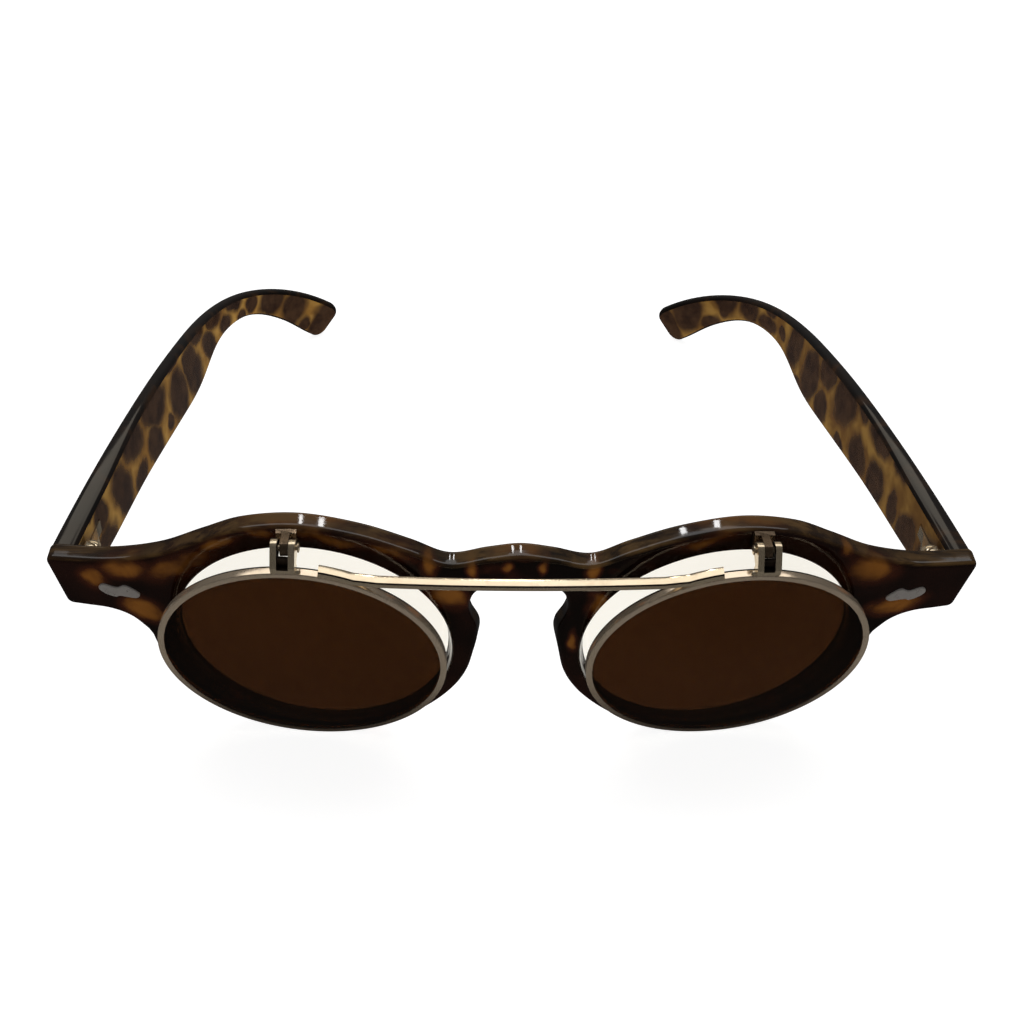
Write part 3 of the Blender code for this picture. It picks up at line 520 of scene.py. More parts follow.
def acetate_dark(name):
    """Near-black brown acetate with faint amber drifts."""
    nodes = material_nodes(name)
    amount = nodes.spread(nodes.noise(10 * MM, 3.0, 0.55, 0.9), 0.5, 0.74)
    dark = nodes.mix(nodes.spread(nodes.noise(14 * MM, 2.0), 0.35, 0.65), srgb(12, 8, 6), srgb(28, 18, 12))
    nodes.set(Base_Color=nodes.mix(amount, dark, srgb(66, 42, 20)))
    polish(nodes, 0.06, 1.49, (1.0, 0.06, 1.0))
    return nodes.owner


def plated(name, tint, worn, roughness, metallic=0.82, shaded_low=False):
    """Polished plated metal; worn is its tone in rubbed places. The last flag adds painted shade: darker
    low down, where the metal would mirror the shadow beneath it.
    """
    nodes = material_nodes(name)
    rubbed = nodes.spread(nodes.noise(2.2 * MM, 5.0, 0.65, 0.3), 0.52, 0.72)
    base = nodes.mix(nodes.spread(nodes.noise(9 * MM, 2.0), 0.3, 0.7, 0.0, 0.35), tint, worn)
    tone = nodes.mix(nodes.math('MULTIPLY', rubbed, 0.3), base, worn)
    if shaded_low:
        # painted shade: the tone fades to dark brown towards the bottom, for the shadow the lower metal
        # would mirror
        lit_share = nodes.spread(nodes.height_of(nodes.coords), 3 * MM, 24 * MM, 0.18, 1.0)
        tone = nodes.mix(lit_share, srgb(44, 34, 28), tone)
    grime = nodes.noise(1.1 * MM, 4.0, 0.6)
    nodes.set(Base_Color=tone, Metallic=metallic,
              Roughness=nodes.spread(grime, 0.3, 0.75, roughness, roughness * 2.0),
              Normal=nodes.bump(nodes.noise(1.5 * MM, 2.0), 0.04, 0.02 * MM))
    return nodes.owner


def painted_shade(name):
    """Painted shade: a dull dark matt colour for the slots and edges of the metal where shade falls."""
    nodes = material_nodes(name)
    shade_mottle = nodes.noise(1.4 * MM, 4.0, 0.6, 0.3)
    nodes.set(Base_Color=nodes.mix(nodes.spread(shade_mottle, 0.3, 0.7), srgb(24, 18, 13), srgb(40, 31, 23)),
              Roughness=nodes.spread(nodes.noise(2.5 * MM, 3.0), 0.3, 0.7, 0.5, 0.8),
              Normal=nodes.bump(nodes.noise(0.8 * MM, 3.0), 0.1, 0.02 * MM), IOR=1.12)
    return nodes.owner


def glass(name, tint_low, tint_high, ior, smeared, lets_lamps_through=False):
    """Lens with a slightly uneven tint and smears up to the roughness smeared."""
    nodes = material_nodes(name)
    tint = nodes.mix(nodes.spread(nodes.noise(30 * MM, 1.0, 0.4), 0.3, 0.7), tint_low, tint_high)
    nodes.set(Base_Color=tint, Transmission_Weight=1.0, IOR=ior,
              Roughness=nodes.spread(nodes.noise(5 * MM, 4.0, 0.6, 0.6), 0.5, 0.8, 0.0, smeared),
              Normal=nodes.bump(nodes.noise(14 * MM, 1.0, 0.4), 0.03, 0.2 * MM))
    if lets_lamps_through:
        path = nodes.add('ShaderNodeLightPath')
        open_shader = nodes.add('ShaderNodeBsdfTransparent', {'Color': tint})
        mixed = nodes.add('ShaderNodeMixShader', {0: path.outputs['Is Shadow Ray'],
                                                  1: nodes.shader.outputs[0], 2: open_shader.outputs[0]})
        nodes.feed(nodes.tree.nodes["Material Output"].inputs['Surface'], mixed.outputs[0])
    return nodes.owner


# ---------------------------------------------------------------- front frame
def front_outline():
    """Outline of the front, clockwise from the top of the bridge, as (x, height) in metres."""
    half = smooth_curve(BROW_LINE, 10, before=(-5, 21.6), after=END_TOP)
    half.append(Vector(BROW_LINE[-1]))
    radius = END_CORNER_RADIUS / MM
    half += corner_arc(BROW_LINE[-1], END_TOP, END_BOTTOM, radius, 8)
    half += corner_arc(END_TOP, END_BOTTOM, END_UNDERSIDE[0], radius, 8)
    half += smooth_curve(END_UNDERSIDE, 8)
    half = [p * MM for p in half]
    steps = 110
    for k in range(steps):
        angle = math.radians(-4 - 171.6 * k / steps)
        across = math.cos(angle)
        extra = RIM_TEMPLE_EXTRA if across > 0 else RIM_NOSE_EXTRA
        radius = RIM_BOTTOM_RADIUS + extra * across * across
        if across < 0:
            radius -= RIM_NOSE_FLAT * math.sin(2 * angle) ** 2
        half.append(Vector((LENS_X + radius * across, radius * math.sin(angle))))
    half += [p * MM for p in smooth_curve(NOSE_LINE, 8, after=(-NOSE_LINE[-2][0], NOSE_LINE[-2][1]))]
    keyhole_top = Vector(NOSE_LINE[-1]) * MM
    mirrored = [Vector((-p.x, p.y)) for p in reversed(half[1:])]
    return half + [keyhole_top] + mirrored


def edge_profile(depth, rounding, steps=6):
    """(inset, depth) steps across an edge that is rounded at the front and the back."""
    profile = []
    for k in range(steps + 1):
        angle = math.pi / 2 * k / steps
        profile.append((rounding * (1 - math.sin(angle)), rounding * (1 - math.cos(angle))))
    return profile + [(inset, depth - d) for inset, d in reversed(profile)]


def opening_loops(side):
    """The lens opening with softened edges, as loops from front to back."""
    loops = []
    for extra, depth in edge_profile(FRONT_DEPTH, OPENING_ROUND, 4):
        radius = OPENING_RADIUS + extra - OPENING_TAPER * depth / FRONT_DEPTH
        loops.append([(side * LENS_X + a, depth, b) for a, b in circle(radius, RING_SEGMENTS)])
    return loops


def nose_pad_loops(side):
    """A low boss on the back face beside the nose, leaning away from the nose as it rises."""
    loops = []
    for k in range(9):
        lift = math.sin(math.pi / 2 * k / 8.6)
        shrink = math.sqrt(max(0.0, 1 - 0.94 * lift ** 3))
        rise = NOSE_PAD_HEIGHT / MM * lift
        loop = []
        for a, b in circle(shrink, 48):
            height = 1.5 + 7.5 * b
            middle = 9.0 + 0.018 * (height - 3.0) ** 2 - 0.4 / (1 + math.exp(-3 * (height - 6)))
            x = middle + 0.85 * a + 0.12 * rise
            loop.append((side * x * MM, FRONT_DEPTH + rise * MM, height * MM))
        loops.append(loop)
    return loops


def close_cap(bm, boundary_loops):
    """Fill between an outer loop and the loops inside it, then split the fill for the wrap."""
    edges = []
    for loop in boundary_loops:
        for i, vert in enumerate(loop):
            edges.append(bm.edges.get((vert, loop[(i + 1) % len(loop)])))
    result = bmesh.ops.triangle_fill(bm, edges=edges, use_beauty=True, use_dissolve=False)
    faces = [item for item in result["geom"] if isinstance(item, bmesh.types.BMFace)]
    # one cut every 5 mm, and every 2.5 mm at the bridge, where the front bends most
    for x in sorted([-70 + 5 * k for k in range(29)] + [2.5 * k for k in range(-7, 8, 2)]):
        geometry = set(faces)
        for face in faces:
            geometry.update(face.edges)
            geometry.update(face.verts)
        cut = bmesh.ops.bisect_plane(bm, geom=list(geometry), plane_co=(x * MM + 1e-5, 0, 0),
                                     plane_no=(1, 0, 0), dist=1e-6)
        faces = [item for item in cut["geom"] if isinstance(item, bmesh.types.BMFace)]


def build_front_frame(material):
    bm = bmesh.new()
    outline = front_outline()
    shell = [add_loop(bm, [(p.x, depth, p.y) for p in inset_loop(outline, inset)])
             for inset, depth in edge_profile(FRONT_DEPTH, EDGE_ROUND)]
    skin(bm, shell)
    front_holes = []
    back_holes = []
    for _, side in SIDES:
        opening = [add_loop(bm, loop) for loop in opening_loops(side)]
        skin(bm, opening)
        front_holes.append(opening[0])
        back_holes.append(opening[-1])
        pad = [add_loop(bm, loop) for loop in nose_pad_loops(side)]
        skin(bm, pad)
        bm.faces.new(pad[-1])
        back_holes.append(pad[0])
    close_cap(bm, [shell[0]] + front_holes)
    close_cap(bm, [shell[-1]] + back_holes)
    for vert in bm.verts:
        x, depth, height = vert.co
        closeness = max(0.0, 1 - (abs(x) / MM - 6.0) / 4.0) if abs(x) > 4 * MM else 1.0
        middle = math.exp(-((height / MM - 3.5) / 4.0) ** 2)
        vert.co.x -= math.copysign(NOSE_FLARE * closeness * middle * depth / FRONT_DEPTH, x)
        vert.co.y += wrap(x)
    bm.transform(front_matrix())
    for vert in bm.verts:
        vert.co.z = max(vert.co.z, 0.0)
    bmesh.ops.triangulate(bm, faces=[f for f in bm.faces if len(f.verts) > 4])
    make_piece("frame_front", bm, "front", [material], "front_frame", angle=50,
               weighted=True)


# ---------------------------------------------------------------- lenses and plaques
def lens_profile(radius, bevel, depth):
    """(radius, depth) outline of a domed lens with a bevelled edge, front to back."""
    dome = [(k / 12, 1 - (k / 12) ** 2) for k in range(12)]
    front = [(radius * r, depth - LENS_DOME * h) for r, h in dome]
    back = [(radius * r, depth + LENS_THICKNESS - LENS_DOME * h) for r, h in reversed(dome)]
    middle = depth + LENS_THICKNESS / 2
    edge = [(radius, depth), (radius, middle - 0.3 * MM), (radius + bevel, middle),
            (radius, middle + 0.3 * MM), (radius, depth + LENS_THICKNESS)]
    return front + edge + back


def build_clear_lenses(material):
    for label, side in SIDES:
        depth = FRONT_DEPTH / 2 + 0.1 * MM - LENS_THICKNESS / 2
        bm = lathe(lens_profile(OPENING_RADIUS + 0.02 * MM, 0.3 * MM, depth), RING_SEGMENTS)
        bm.transform(Matrix.Translation((side * LENS_X, 0, 0)))
        for vert in bm.verts:
            vert.co.y += wrap(vert.co.x)
        make_piece("lens_clear_" + label, moved(bm, front_matrix()), "front", [material],
                   "clear_lens_" + label, angle=25)


def build_plaques(material):
    """Wavy plates let into the end pieces, with a softened edge."""
    for label, side in SIDES:
        curve = smooth_curve(PLAQUE_OUTLINE + PLAQUE_OUTLINE[:1], 8, before=PLAQUE_OUTLINE[-1],
                             after=PLAQUE_OUTLINE[1])
        outline = [p * MM for p in curve]
        loops = []
        for inset, lift in ((0.34, 1.0), (0.16, 0.92), (0.06, 0.7), (0.0, 0.4), (0.0, -1.0)):
            depth = -PLAQUE_PROUD * lift
            loop = [Vector((side * (PLAQUE_X + p.x), 0, PLAQUE_HEIGHT + p.y))
                    for p in inset_loop(outline, inset * MM)]
            loops.append([(p.x, depth + wrap(p.x), p.z) for p in loop])
        make_piece("plaque_inlay_" + label, moved(loft(loops), front_matrix()), "front",
                   [material], "plaque_" + label, angle=40)


# ---------------------------------------------------------------- temples
def temple_path(side):
    """Stations every half millimetre: (position, inward normal, downward direction)."""
    step = 0.5
    x, y, z = TEMPLE_START
    y += FRONT_Y
    stations = []
    for k in range(round(TEMPLE_LENGTH / MM / step) + 1):
        along = k * step
        inward = math.radians(interpolate(INWARD_HEADING, along))
        down = math.radians(interpolate(DOWN_HEADING, along))
        into = Vector((-side * math.cos(inward), -math.sin(inward), 0))
        below = Vector((side * math.sin(inward) * math.sin(down), -math.cos(inward) * math.sin(down),
                        -math.cos(down)))
        stations.append((Vector((side * x, y, z)), into, below))
        x -= math.sin(inward) * math.cos(down) * step * MM
        y += math.cos(inward) * math.cos(down) * step * MM
        z -= math.sin(down) * step * MM
    return stations


def temple_section(station, along, end_trim):
    """Rounded rectangle across the temple; end_trim narrows it towards the tip."""
    position, into, below = station
    width = interpolate(TEMPLE_WIDTH, along) * MM
    thickness = interpolate(TEMPLE_THICKNESS, along) * MM
    slim = 0.3 * end_trim
    top_trim = TIP_TOP_SHARE * end_trim
    corner = TEMPLE_CORNER * (1 - 0.35 * end_trim / TIP_ROUND)
    corners = ((slim, top_trim, 180), (thickness - slim, top_trim, 270),
               (thickness - slim, width - end_trim, 0), (slim, width - end_trim, 90))
    loop = []
    for across, drop, start in corners:
        centre = (across + corner * (1 if across < thickness / 2 else -1),
                  drop + corner * (1 if drop < width / 2 else -1))
        loop += [position + into * a + below * b for a, b in arc(centre, corner, start, 90, 6)]
    return loop


def butt_to_front(loop, direction):
    """Slide a section's points along the temple until they meet the front's back face."""
    to_front = front_matrix().inverted()
    along = to_front.to_3x3() @ direction
    placed = []
    for point in loop:
        local = to_front @ point
        shift = (FRONT_DEPTH + wrap(local.x) + JOINT_GAP - local.y) / along.y
        placed.append(point + direction * shift)
    return placed


def hinge_box(side, low, high):
    """Box given about the temple hinge, with x measured outwards."""
    hinge = hinge_place(side).translation
    near, far = sorted((side * low[0], side * high[0]))
    return box(hinge + Vector((near, *low[1:])), hinge + Vector((far, *high[1:])))


def build_temple(label, side, dark, spotted):
    path = temple_path(side)
    length = TEMPLE_LENGTH / MM
    direction = (path[2][0] - path[0][0]).normalized()
    loops = [butt_to_front(temple_section(path[0], 0, 0), direction)]
    along = 3.0
    while along < length - TIP_ROUND / MM - 0.5:
        loops.append(temple_section(path[round(along * 2)], along, 0))
        along += 2.0
    for k in range(8):
        part = math.sin(math.pi / 2 * (k + 0.5) / 8)
        place = length - TIP_ROUND / MM * (1 - part)
        trim = TIP_ROUND * (1 - math.sqrt(1 - part * part))
        exact = place * 2
        low = path[int(exact)]
        high = path[min(int(exact) + 1, len(path) - 1)]
        share = exact - int(exact)
        station = tuple(a.lerp(b, share) for a, b in zip(low, high))
        loops.append(temple_section(station, place, trim))
    bm = bmesh.new()
    rings = [add_loop(bm, loop) for loop in loops]
    for band in skin(bm, rings):
        for index in INNER_FACES:
            band[index].material_index = 1
    bm.faces.new(rings[0])
    bm.faces.new(rings[-1]).material_index = 1
    bottom, top = -HINGE_HALF - RECESS_MARGIN, HINGE_HALF + HEAD_ROOM
    leaf_half = KNUCKLE_HALF + 0.2 * MM
    cuts = [hinge_box(side, (-1.5 * MM, -6 * MM, bottom), (RECESS_FLOOR, 0.3 * MM, top)),
            hinge_box(side, (-1.5 * MM, 0, -leaf_half),
                      (RECESS_FLOOR, LEAF_REACH + RECESS_MARGIN, leaf_half)),
            moved(cylinder(2.2 * MM, bottom, top), hinge_place(side))]
    for cut in cuts:
        for face in cut.faces:
            face.material_index = 1
    make_piece("arm_" + label, bm, "temple_arm_" + label, [dark, spotted],
               "temple_" + label, angle=50, tools=[('DIFFERENCE', cut) for cut in cuts])


def build_screw(name, replaced, body, metal, place, radius, low, head_from, head_radius, head_height):
    """Slotted screw along the +Y of place: a shaft from low to head_from with a domed head."""
    profile = [(0, low), (radius * 0.8, low), (radius, low + 0.1 * MM), (radius, head_from),
               (head_radius * 0.94, head_from), (head_radius, head_from + 0.06 * MM),
               (head_radius, head_from + head_height * 0.45)]
    for k in range(1, 7):
        angle = math.pi / 2 * k / 6
        profile.append((head_radius * math.cos(angle) if k < 6 else 0,
                        head_from + head_height * (0.45 + 0.55 * math.sin(angle))))
    top = head_from + head_height
    slot = box((-head_radius * 1.2, top - 0.26 * MM, -0.14 * MM), (head_radius * 1.2, top + MM, 0.14 * MM))
    make_piece(name, moved(lathe(profile, 48), place), body, [metal], replaced,
               tools=[('DIFFERENCE', moved(slot, place))])


def build_temple_hinge(label, side, metal):
    """A leaf with one knuckle on the temple, a leaf with two on the front, and their screw."""
    place = hinge_place(side)
    inner = KNUCKLE_HALF + JOINT_GAP
    leaf = moved(cylinder(KNUCKLE_RADIUS, -KNUCKLE_HALF, KNUCKLE_HALF), place)
    arm = hinge_box(side, (0.3 * MM, 0, -KNUCKLE_HALF), (LEAF_OUTER, LEAF_REACH, KNUCKLE_HALF))
    thin = hinge_box(side, (-2 * MM, 2.2 * MM, -2 * MM), (LEAF_INNER, LEAF_REACH + MM, 2 * MM))
    wedge_plan = [(-1.3, 0.3), (1.3, 7.2), (1.8, 7.2), (1.8, -0.3)]
    wedge = loft([[place @ Vector((side * x * MM, y * MM, z)) for x, y in wedge_plan]
                  for z in (-KNUCKLE_HALF + 0.02 * MM, KNUCKLE_HALF - 0.02 * MM)])
    bore = moved(cylinder(SCREW_RADIUS + BORE_GAP, -2 * MM, 2 * MM), place)
    make_piece("leaf_temple_" + label, leaf, "temple_arm_" + label, [metal],
               "temple_leaf_" + label, bevel=0.12 * MM,
               tools=[('UNION', arm), ('DIFFERENCE', thin), ('UNION', wedge), ('DIFFERENCE', bore)])

    front_leaf = moved(cylinder(KNUCKLE_RADIUS, -HINGE_HALF, HINGE_HALF), place)
    tab = box((-1.1 * MM, -1.7 * MM, -HINGE_HALF), (1.1 * MM, 1.2 * MM, HINGE_HALF))
    tab.transform(Matrix.Translation((side * (HINGE_X - 0.2 * MM),
                                      FRONT_DEPTH + wrap(HINGE_X), HINGE_Z - FRONT_Z - 0.1 * MM)))
    web = hinge_box(side, (-1.2 * MM, -1.45 * MM, -HINGE_HALF), (0.7 * MM, 0, HINGE_HALF))
    room = moved(cylinder(KNUCKLE_RADIUS + JOINT_GAP, -inner, inner), place)
    slot = hinge_box(side, (-3 * MM, -0.9 * MM, -inner), (3 * MM, 3 * MM, inner))
    bore = moved(cylinder(SCREW_RADIUS + BORE_GAP, -2 * HINGE_HALF, 2 * HINGE_HALF), place)
    make_piece("leaf_front_" + label, front_leaf, "front", [metal],
               "front_leaf_" + label, bevel=0.1 * MM,
               tools=[('UNION', moved(tab, front_matrix())), ('UNION', web), ('DIFFERENCE', room),
                      ('DIFFERENCE', slot), ('DIFFERENCE', bore)])

    turn = place @ Matrix.Rotation(math.radians(35 * side), 4, 'Z') @ Matrix.Rotation(math.pi / 2, 4, 'X')
    build_screw("screw_temple_" + label, "temple_screw_" + label, "front", metal, turn, SCREW_RADIUS,
                -HINGE_HALF, HINGE_HALF + 0.05 * MM, SCREW_HEAD_RADIUS, SCREW_HEAD_HEIGHT)


# ---------------------------------------------------------------- flip-up part
def build_ring(label, side, metal, shade_metal, tinted):
    """Metal ring whose outer back edge has painted shade, a dark line where it turns from the light, and
    the tinted lens in it.
    """
    outer = FLIP_RING_RADIUS
    inner = FLIP_RING_RADIUS - FLIP_RING_WIDTH
    depth = FLIP_RING_DEPTH
    soft = 0.2 * MM
    far = 0.5 * MM
    profile = []
    corners = ((outer - soft, soft, 270, soft), (outer - far, depth - far, 0, far),
               (inner + soft, depth - soft, 90, soft), (inner + soft, soft, 180, soft))
    for radius, along, start, rounding in corners:
        profile += arc((radius, along), rounding, start, 90, 6)
    ring = lathe(profile, RING_SEGMENTS, closed=True)
    # painted shade: the faces of the outer back edge take the dark matt colour
    for face in ring.faces:
        middle = face.calc_center_median()
        if middle.y > depth - 0.55 * MM and math.hypot(middle.x, middle.z) > outer - far:
            face.material_index = 1
    make_piece("ring_" + label, moved(ring, ring_matrix(side)), "flip_unit",
               [metal, shade_metal], "flip_ring_" + label, angle=30)
    lens = lathe(lens_profile(inner + 0.05 * MM, 0.2 * MM, 0.1 * MM), RING_SEGMENTS)
    make_piece("lens_tinted_" + label, moved(lens, ring_matrix(side)), "flip_unit",
               [tinted], "tinted_lens_" + label, angle=25)


def eye_outline(centre, foot_front, foot_back, foot_height):
    """Side outline of a hinge arm: a flat foot and a round eye about centre."""
    front_foot = Vector((foot_front, foot_height + 1.2 * MM))
    back_foot = Vector((foot_back, foot_height + 0.8 * MM))
    ends = []
    for foot, turn in ((front_foot, -1), (back_foot, 1)):
        reach = foot - centre
        ends.append(math.atan2(reach.y, reach.x) + turn * math.acos(EYE_RADIUS / reach.length))
    start, end = (math.degrees(angle) for angle in ends)
    sweep = end - start - (360 if end > start else 0)
    return [(foot_front, foot_height), tuple(front_foot), *arc(centre, EYE_RADIUS, start, sweep, 36),
            tuple(back_foot), (foot_back, foot_height)]


def build_flip_arm(label, side, metal, shade_metal):
    """Forked arm on the ring whose slot is painted dark as shade, with a dark wall across the back of the
    slot, and the pin through it.
    """
    place = ring_matrix(side)
    axis_place = flip_axis_place(side)
    axis = place.inverted() @ axis_place.translation
    middle_x = side * (FLIP_HINGE_X[side] - FLIP_RING_CENTRE[0])
    half = EAR_SPACE / 2 + EAR_WIDTH
    foot_height = FLIP_RING_RADIUS - 0.15 * MM
    outline = eye_outline(axis.yz, 0.1 * MM, FLIP_RING_DEPTH - 0.05 * MM, foot_height)
    arm = moved(extrude_profile(outline, middle_x - half, middle_x + half), place)
    slot = box((middle_x - EAR_SPACE / 2, -2 * MM, FLIP_RING_RADIUS + 0.7 * MM),
               (middle_x + EAR_SPACE / 2, 8 * MM, foot_height + 8 * MM))
    wall = box((middle_x - EAR_SPACE / 2 - 0.2 * MM, 1.13 * MM, FLIP_RING_RADIUS),
               (middle_x + EAR_SPACE / 2 + 0.2 * MM, 1.55 * MM, FLIP_RING_RADIUS + 2.27 * MM))
    # painted shade: the slot's faces and the wall across its back take the dark matt colour, so the slot
    # reads as a shadowed gap
    for face in slot.faces[:] + wall.faces[:]:
        face.material_index = 1
    bead = bmesh.new()
    bmesh.ops.create_uvsphere(bead, u_segments=20, v_segments=12, radius=0.5 * MM)
    bead_x = middle_x - side * (half + 0.15 * MM)
    bead_z = math.sqrt(FLIP_RING_RADIUS ** 2 - bead_x ** 2) + 0.1 * MM
    bead.transform(Matrix.Translation((bead_x, 0.55 * MM, bead_z)) @ Matrix.Diagonal((1.2, 0.8, 0.9, 1)))
    bore = moved(cylinder(PIN_RADIUS + BORE_GAP, -4 * MM, 4 * MM, 'X'), axis_place)
    tools = [('DIFFERENCE', moved(slot, place)), ('UNION', moved(wall, place)),
             ('UNION', moved(bead, place)), ('DIFFERENCE', bore)]
    make_piece("arm_flip_" + label, arm, "flip_unit", [metal, shade_metal],
               "flip_arm_" + label, bevel=0.13 * MM, tools=tools)

    turn = (axis_place @ Matrix.Rotation(side * math.pi / 2, 4, 'Z')
            @ Matrix.Rotation(math.radians(25), 4, 'Y'))
    build_screw("screw_flip_" + label, "flip_pin_" + label, "flip_unit", metal, turn, PIN_RADIUS,
                -half - 0.1 * MM, half + 0.08 * MM, PIN_HEAD_RADIUS, PIN_HEAD_LENGTH)


def build_bracket(label, side, metal):
    """Plate on the brow with the tongue that stands between the arm's ears."""
    width, thickness, height = BRACKET_PLATE
    hinge_x = side * FLIP_HINGE_X[side]
    front = front_matrix()
    face = wrap(hinge_x)
    axis = front.inverted() @ flip_axis_place(side).translation
    plate_front = face - JOINT_GAP - thickness
    plate_low = BRACKET_PLATE_HEIGHT - height / 2
    plate_high = BRACKET_PLATE_HEIGHT + height / 2
    root = [(plate_front + 0.5 * MM, plate_low + 0.4 * MM), (plate_front + 0.5 * MM, plate_high - 0.1 * MM)]
    tongue = extrude_profile(arc(axis.yz, EYE_RADIUS, 100, 170, 30) + root, hinge_x - TONGUE_WIDTH / 2,
                             hinge_x + TONGUE_WIDTH / 2)
    plate = box((hinge_x - width / 2, plate_front, plate_low), (hinge_x + width / 2, face, plate_high))
    make_piece("bracket_" + label, moved(tongue, front), "front", [metal],
               "flip_bracket_" + label, bevel=0.12 * MM, tools=[('UNION', moved(plate, front))])


def bar_path():
    """Middle line of the bar from the left ring to the right, with its upward direction."""
    radius = FLIP_RING_RADIUS + BAR_HEIGHT / 2
    place = ring_matrix(1)
    half = []
    for k in range(9):
        x = BAR_PAD_FROM + (BAR_PAD_TO - BAR_PAD_FROM) * k / 8
        height = math.sqrt(radius * radius - x * x)
        up = place.to_3x3() @ Vector((x, 0, height)).normalized()
        half.append((place @ Vector((x, FLIP_RING_DEPTH / 2, height)), up))
    knee, up = half[-1]
    level = place.to_3x3() @ Vector((0, 0, 1))
    for share in BAR_SHARES:
        drop = BAR_DROP * (1 - max(0.0, (share - 0.85) / 0.15))
        bow = BAR_BOW * (1 - share * share)
        point = Vector((knee.x * share, knee.y - bow, knee.z - drop))
        half.append((point, up.lerp(level, min(1.0, (1 - share) / 0.1)).normalized()))
    middle = (Vector((0, knee.y - BAR_BOW, knee.z - BAR_DROP)), level.normalized())
    other = [(Vector((-p.x, p.y, p.z)), Vector((-u.x, u.y, u.z))) for p, u in reversed(half)]
    return half + [middle] + other


def build_bar(metal, shade_metal):
    """Bar with rounded corners, along both rings and across the gap; its upper front edge has painted
    shade, a dark line between top and front.
    """
    corners = []
    for sx, sz, start in ((1, 1, 0), (-1, 1, 90), (-1, -1, 180), (1, -1, 270)):
        corners += arc((sx * (BAR_DEPTH / 2 - BAR_CORNER), sz * (BAR_HEIGHT / 2 - BAR_CORNER)), BAR_CORNER,
                       start, 90, 3)
    tilted = ring_matrix(1).to_3x3() @ Vector((0, 1, 0))
    backwards = Vector((0, tilted.y, tilted.z)).normalized()
    loops = []
    for point, up in bar_path():
        across = (backwards - up * backwards.dot(up)).normalized()
        loops.append([point + across * a + up * b for a, b in corners])
    bar = loft(loops)
    bmesh.ops.recalc_face_normals(bar, faces=bar.faces)
    # painted shade: faces along the upper front edge take the dark matt colour
    for face in bar.faces:
        if face.normal.z > 0.35 and face.normal.y < -0.35:
            face.material_index = 1
    make_piece("bar", bar, "flip_unit", [metal, shade_metal], "flip_bar")


# ---------------------------------------------------------------- spots and clouds
def front_clouds():
    """Soft amber clouds in the front, as (frame, half sizes)."""
    clouds = []
    for x, height, depth, wide, tall, turn in CLOUDS:
        place = (Matrix.Translation(front_point(x, height, depth)) @ Matrix.Rotation(FRONT_TILT, 4, 'X')
                 @ Matrix.Rotation(math.radians(-turn), 4, 'Y'))
        clouds.append((place, (wide * MM, 2.6 * MM, tall * MM)))
    return clouds


def temple_spots(side, table):
    """Dark spots on the inner face of a temple, as (frame, half sizes)."""
    path = temple_path(side)
    last = len(path) - 1
    spots = []
    for along, drop, long, tall, turn in table:
        station = min(round(along * 2), last)
        position, into, below = path[station]
        ahead = (path[min(station + 1, last)][0] - path[max(station - 1, 0)][0]).normalized()
        thickness = interpolate(TEMPLE_THICKNESS, along) * MM
        centre = position + into * thickness + below * drop * MM
        turn = math.radians(turn)
        first = ahead * math.cos(turn) + below * math.sin(turn)
        third = below * math.cos(turn) - ahead * math.sin(turn)
        basis = Matrix((first, third.cross(first), third)).transposed().to_4x4()
        spots.append((Matrix.Translation(centre) @ basis, (long * MM, 3.0 * MM, tall * MM)))
    return spots


# Clouds: x and height on the front, depth, half width, half height, turn (up towards +X)
CLOUDS = [
    (-60.5, 14.6, 0.6, 4.2, 2.4, 10), (-51.5, 16.6, 0.8, 6.5, 2.6, 30), (-59.0, 4.8, 0.6, 3.4, 2.6, -35),
    (-66.0, 12.0, 0.6, 2.0, 2.6, 0), (-45.0, 21.6, 1.0, 4.0, 1.4, 35),
    (-29.0, 24.6, 1.0, 7.0, 1.3, -12), (-19.5, 22.4, 1.0, 4.6, 1.4, -30), (-13.6, 19.6, 0.6, 1.2, 2.6, 0),
    (-7.6, 20.0, 0.6, 0.9, 2.0, 0), (-2.6, 20.4, 0.6, 0.9, 1.8, 0), (3.6, 20.4, 0.6, 0.8, 1.8, 0),
    (-11.0, 12.6, 0.4, 3.0, 2.4, -40), (11.2, 19.8, 0.6, 1.2, 2.8, 0), (12.0, 11.5, 0.6, 1.6, 3.2, 0),
    (28.0, 24.4, 1.2, 5.6, 1.5, 20), (50.2, 20.5, 0.8, 1.2, 2.2, 0),
    (54.8, 15.6, 0.5, 4.8, 3.2, -8), (60.8, 6.4, 0.5, 4.6, 2.3, 12), (-38.0, 24.8, 1.4, 3.4, 1.2, 0),
    # painted light: the three long clouds at depth 3.0 on the next line stand in for light glowing through
    # the top of the brow
    (-34.0, 26.6, 3.0, 13.0, 1.6, 0), (31.0, 26.5, 3.0, 12.0, 1.3, 0), (-2.0, 22.9, 3.0, 8.0, 0.9, 0),
    (9.4, 2.5, 1.4, 0.8, 3.0, 0), (45.0, -18.0, 1.0, 4.0, 2.0, -40),
    (-47.0, -17.0, 1.0, 4.0, 2.0, 40), (20.0, -21.0, 1.0, 3.5, 1.6, 30), (-25.0, -22.5, 1.0, 3.5, 1.5, -15),
]
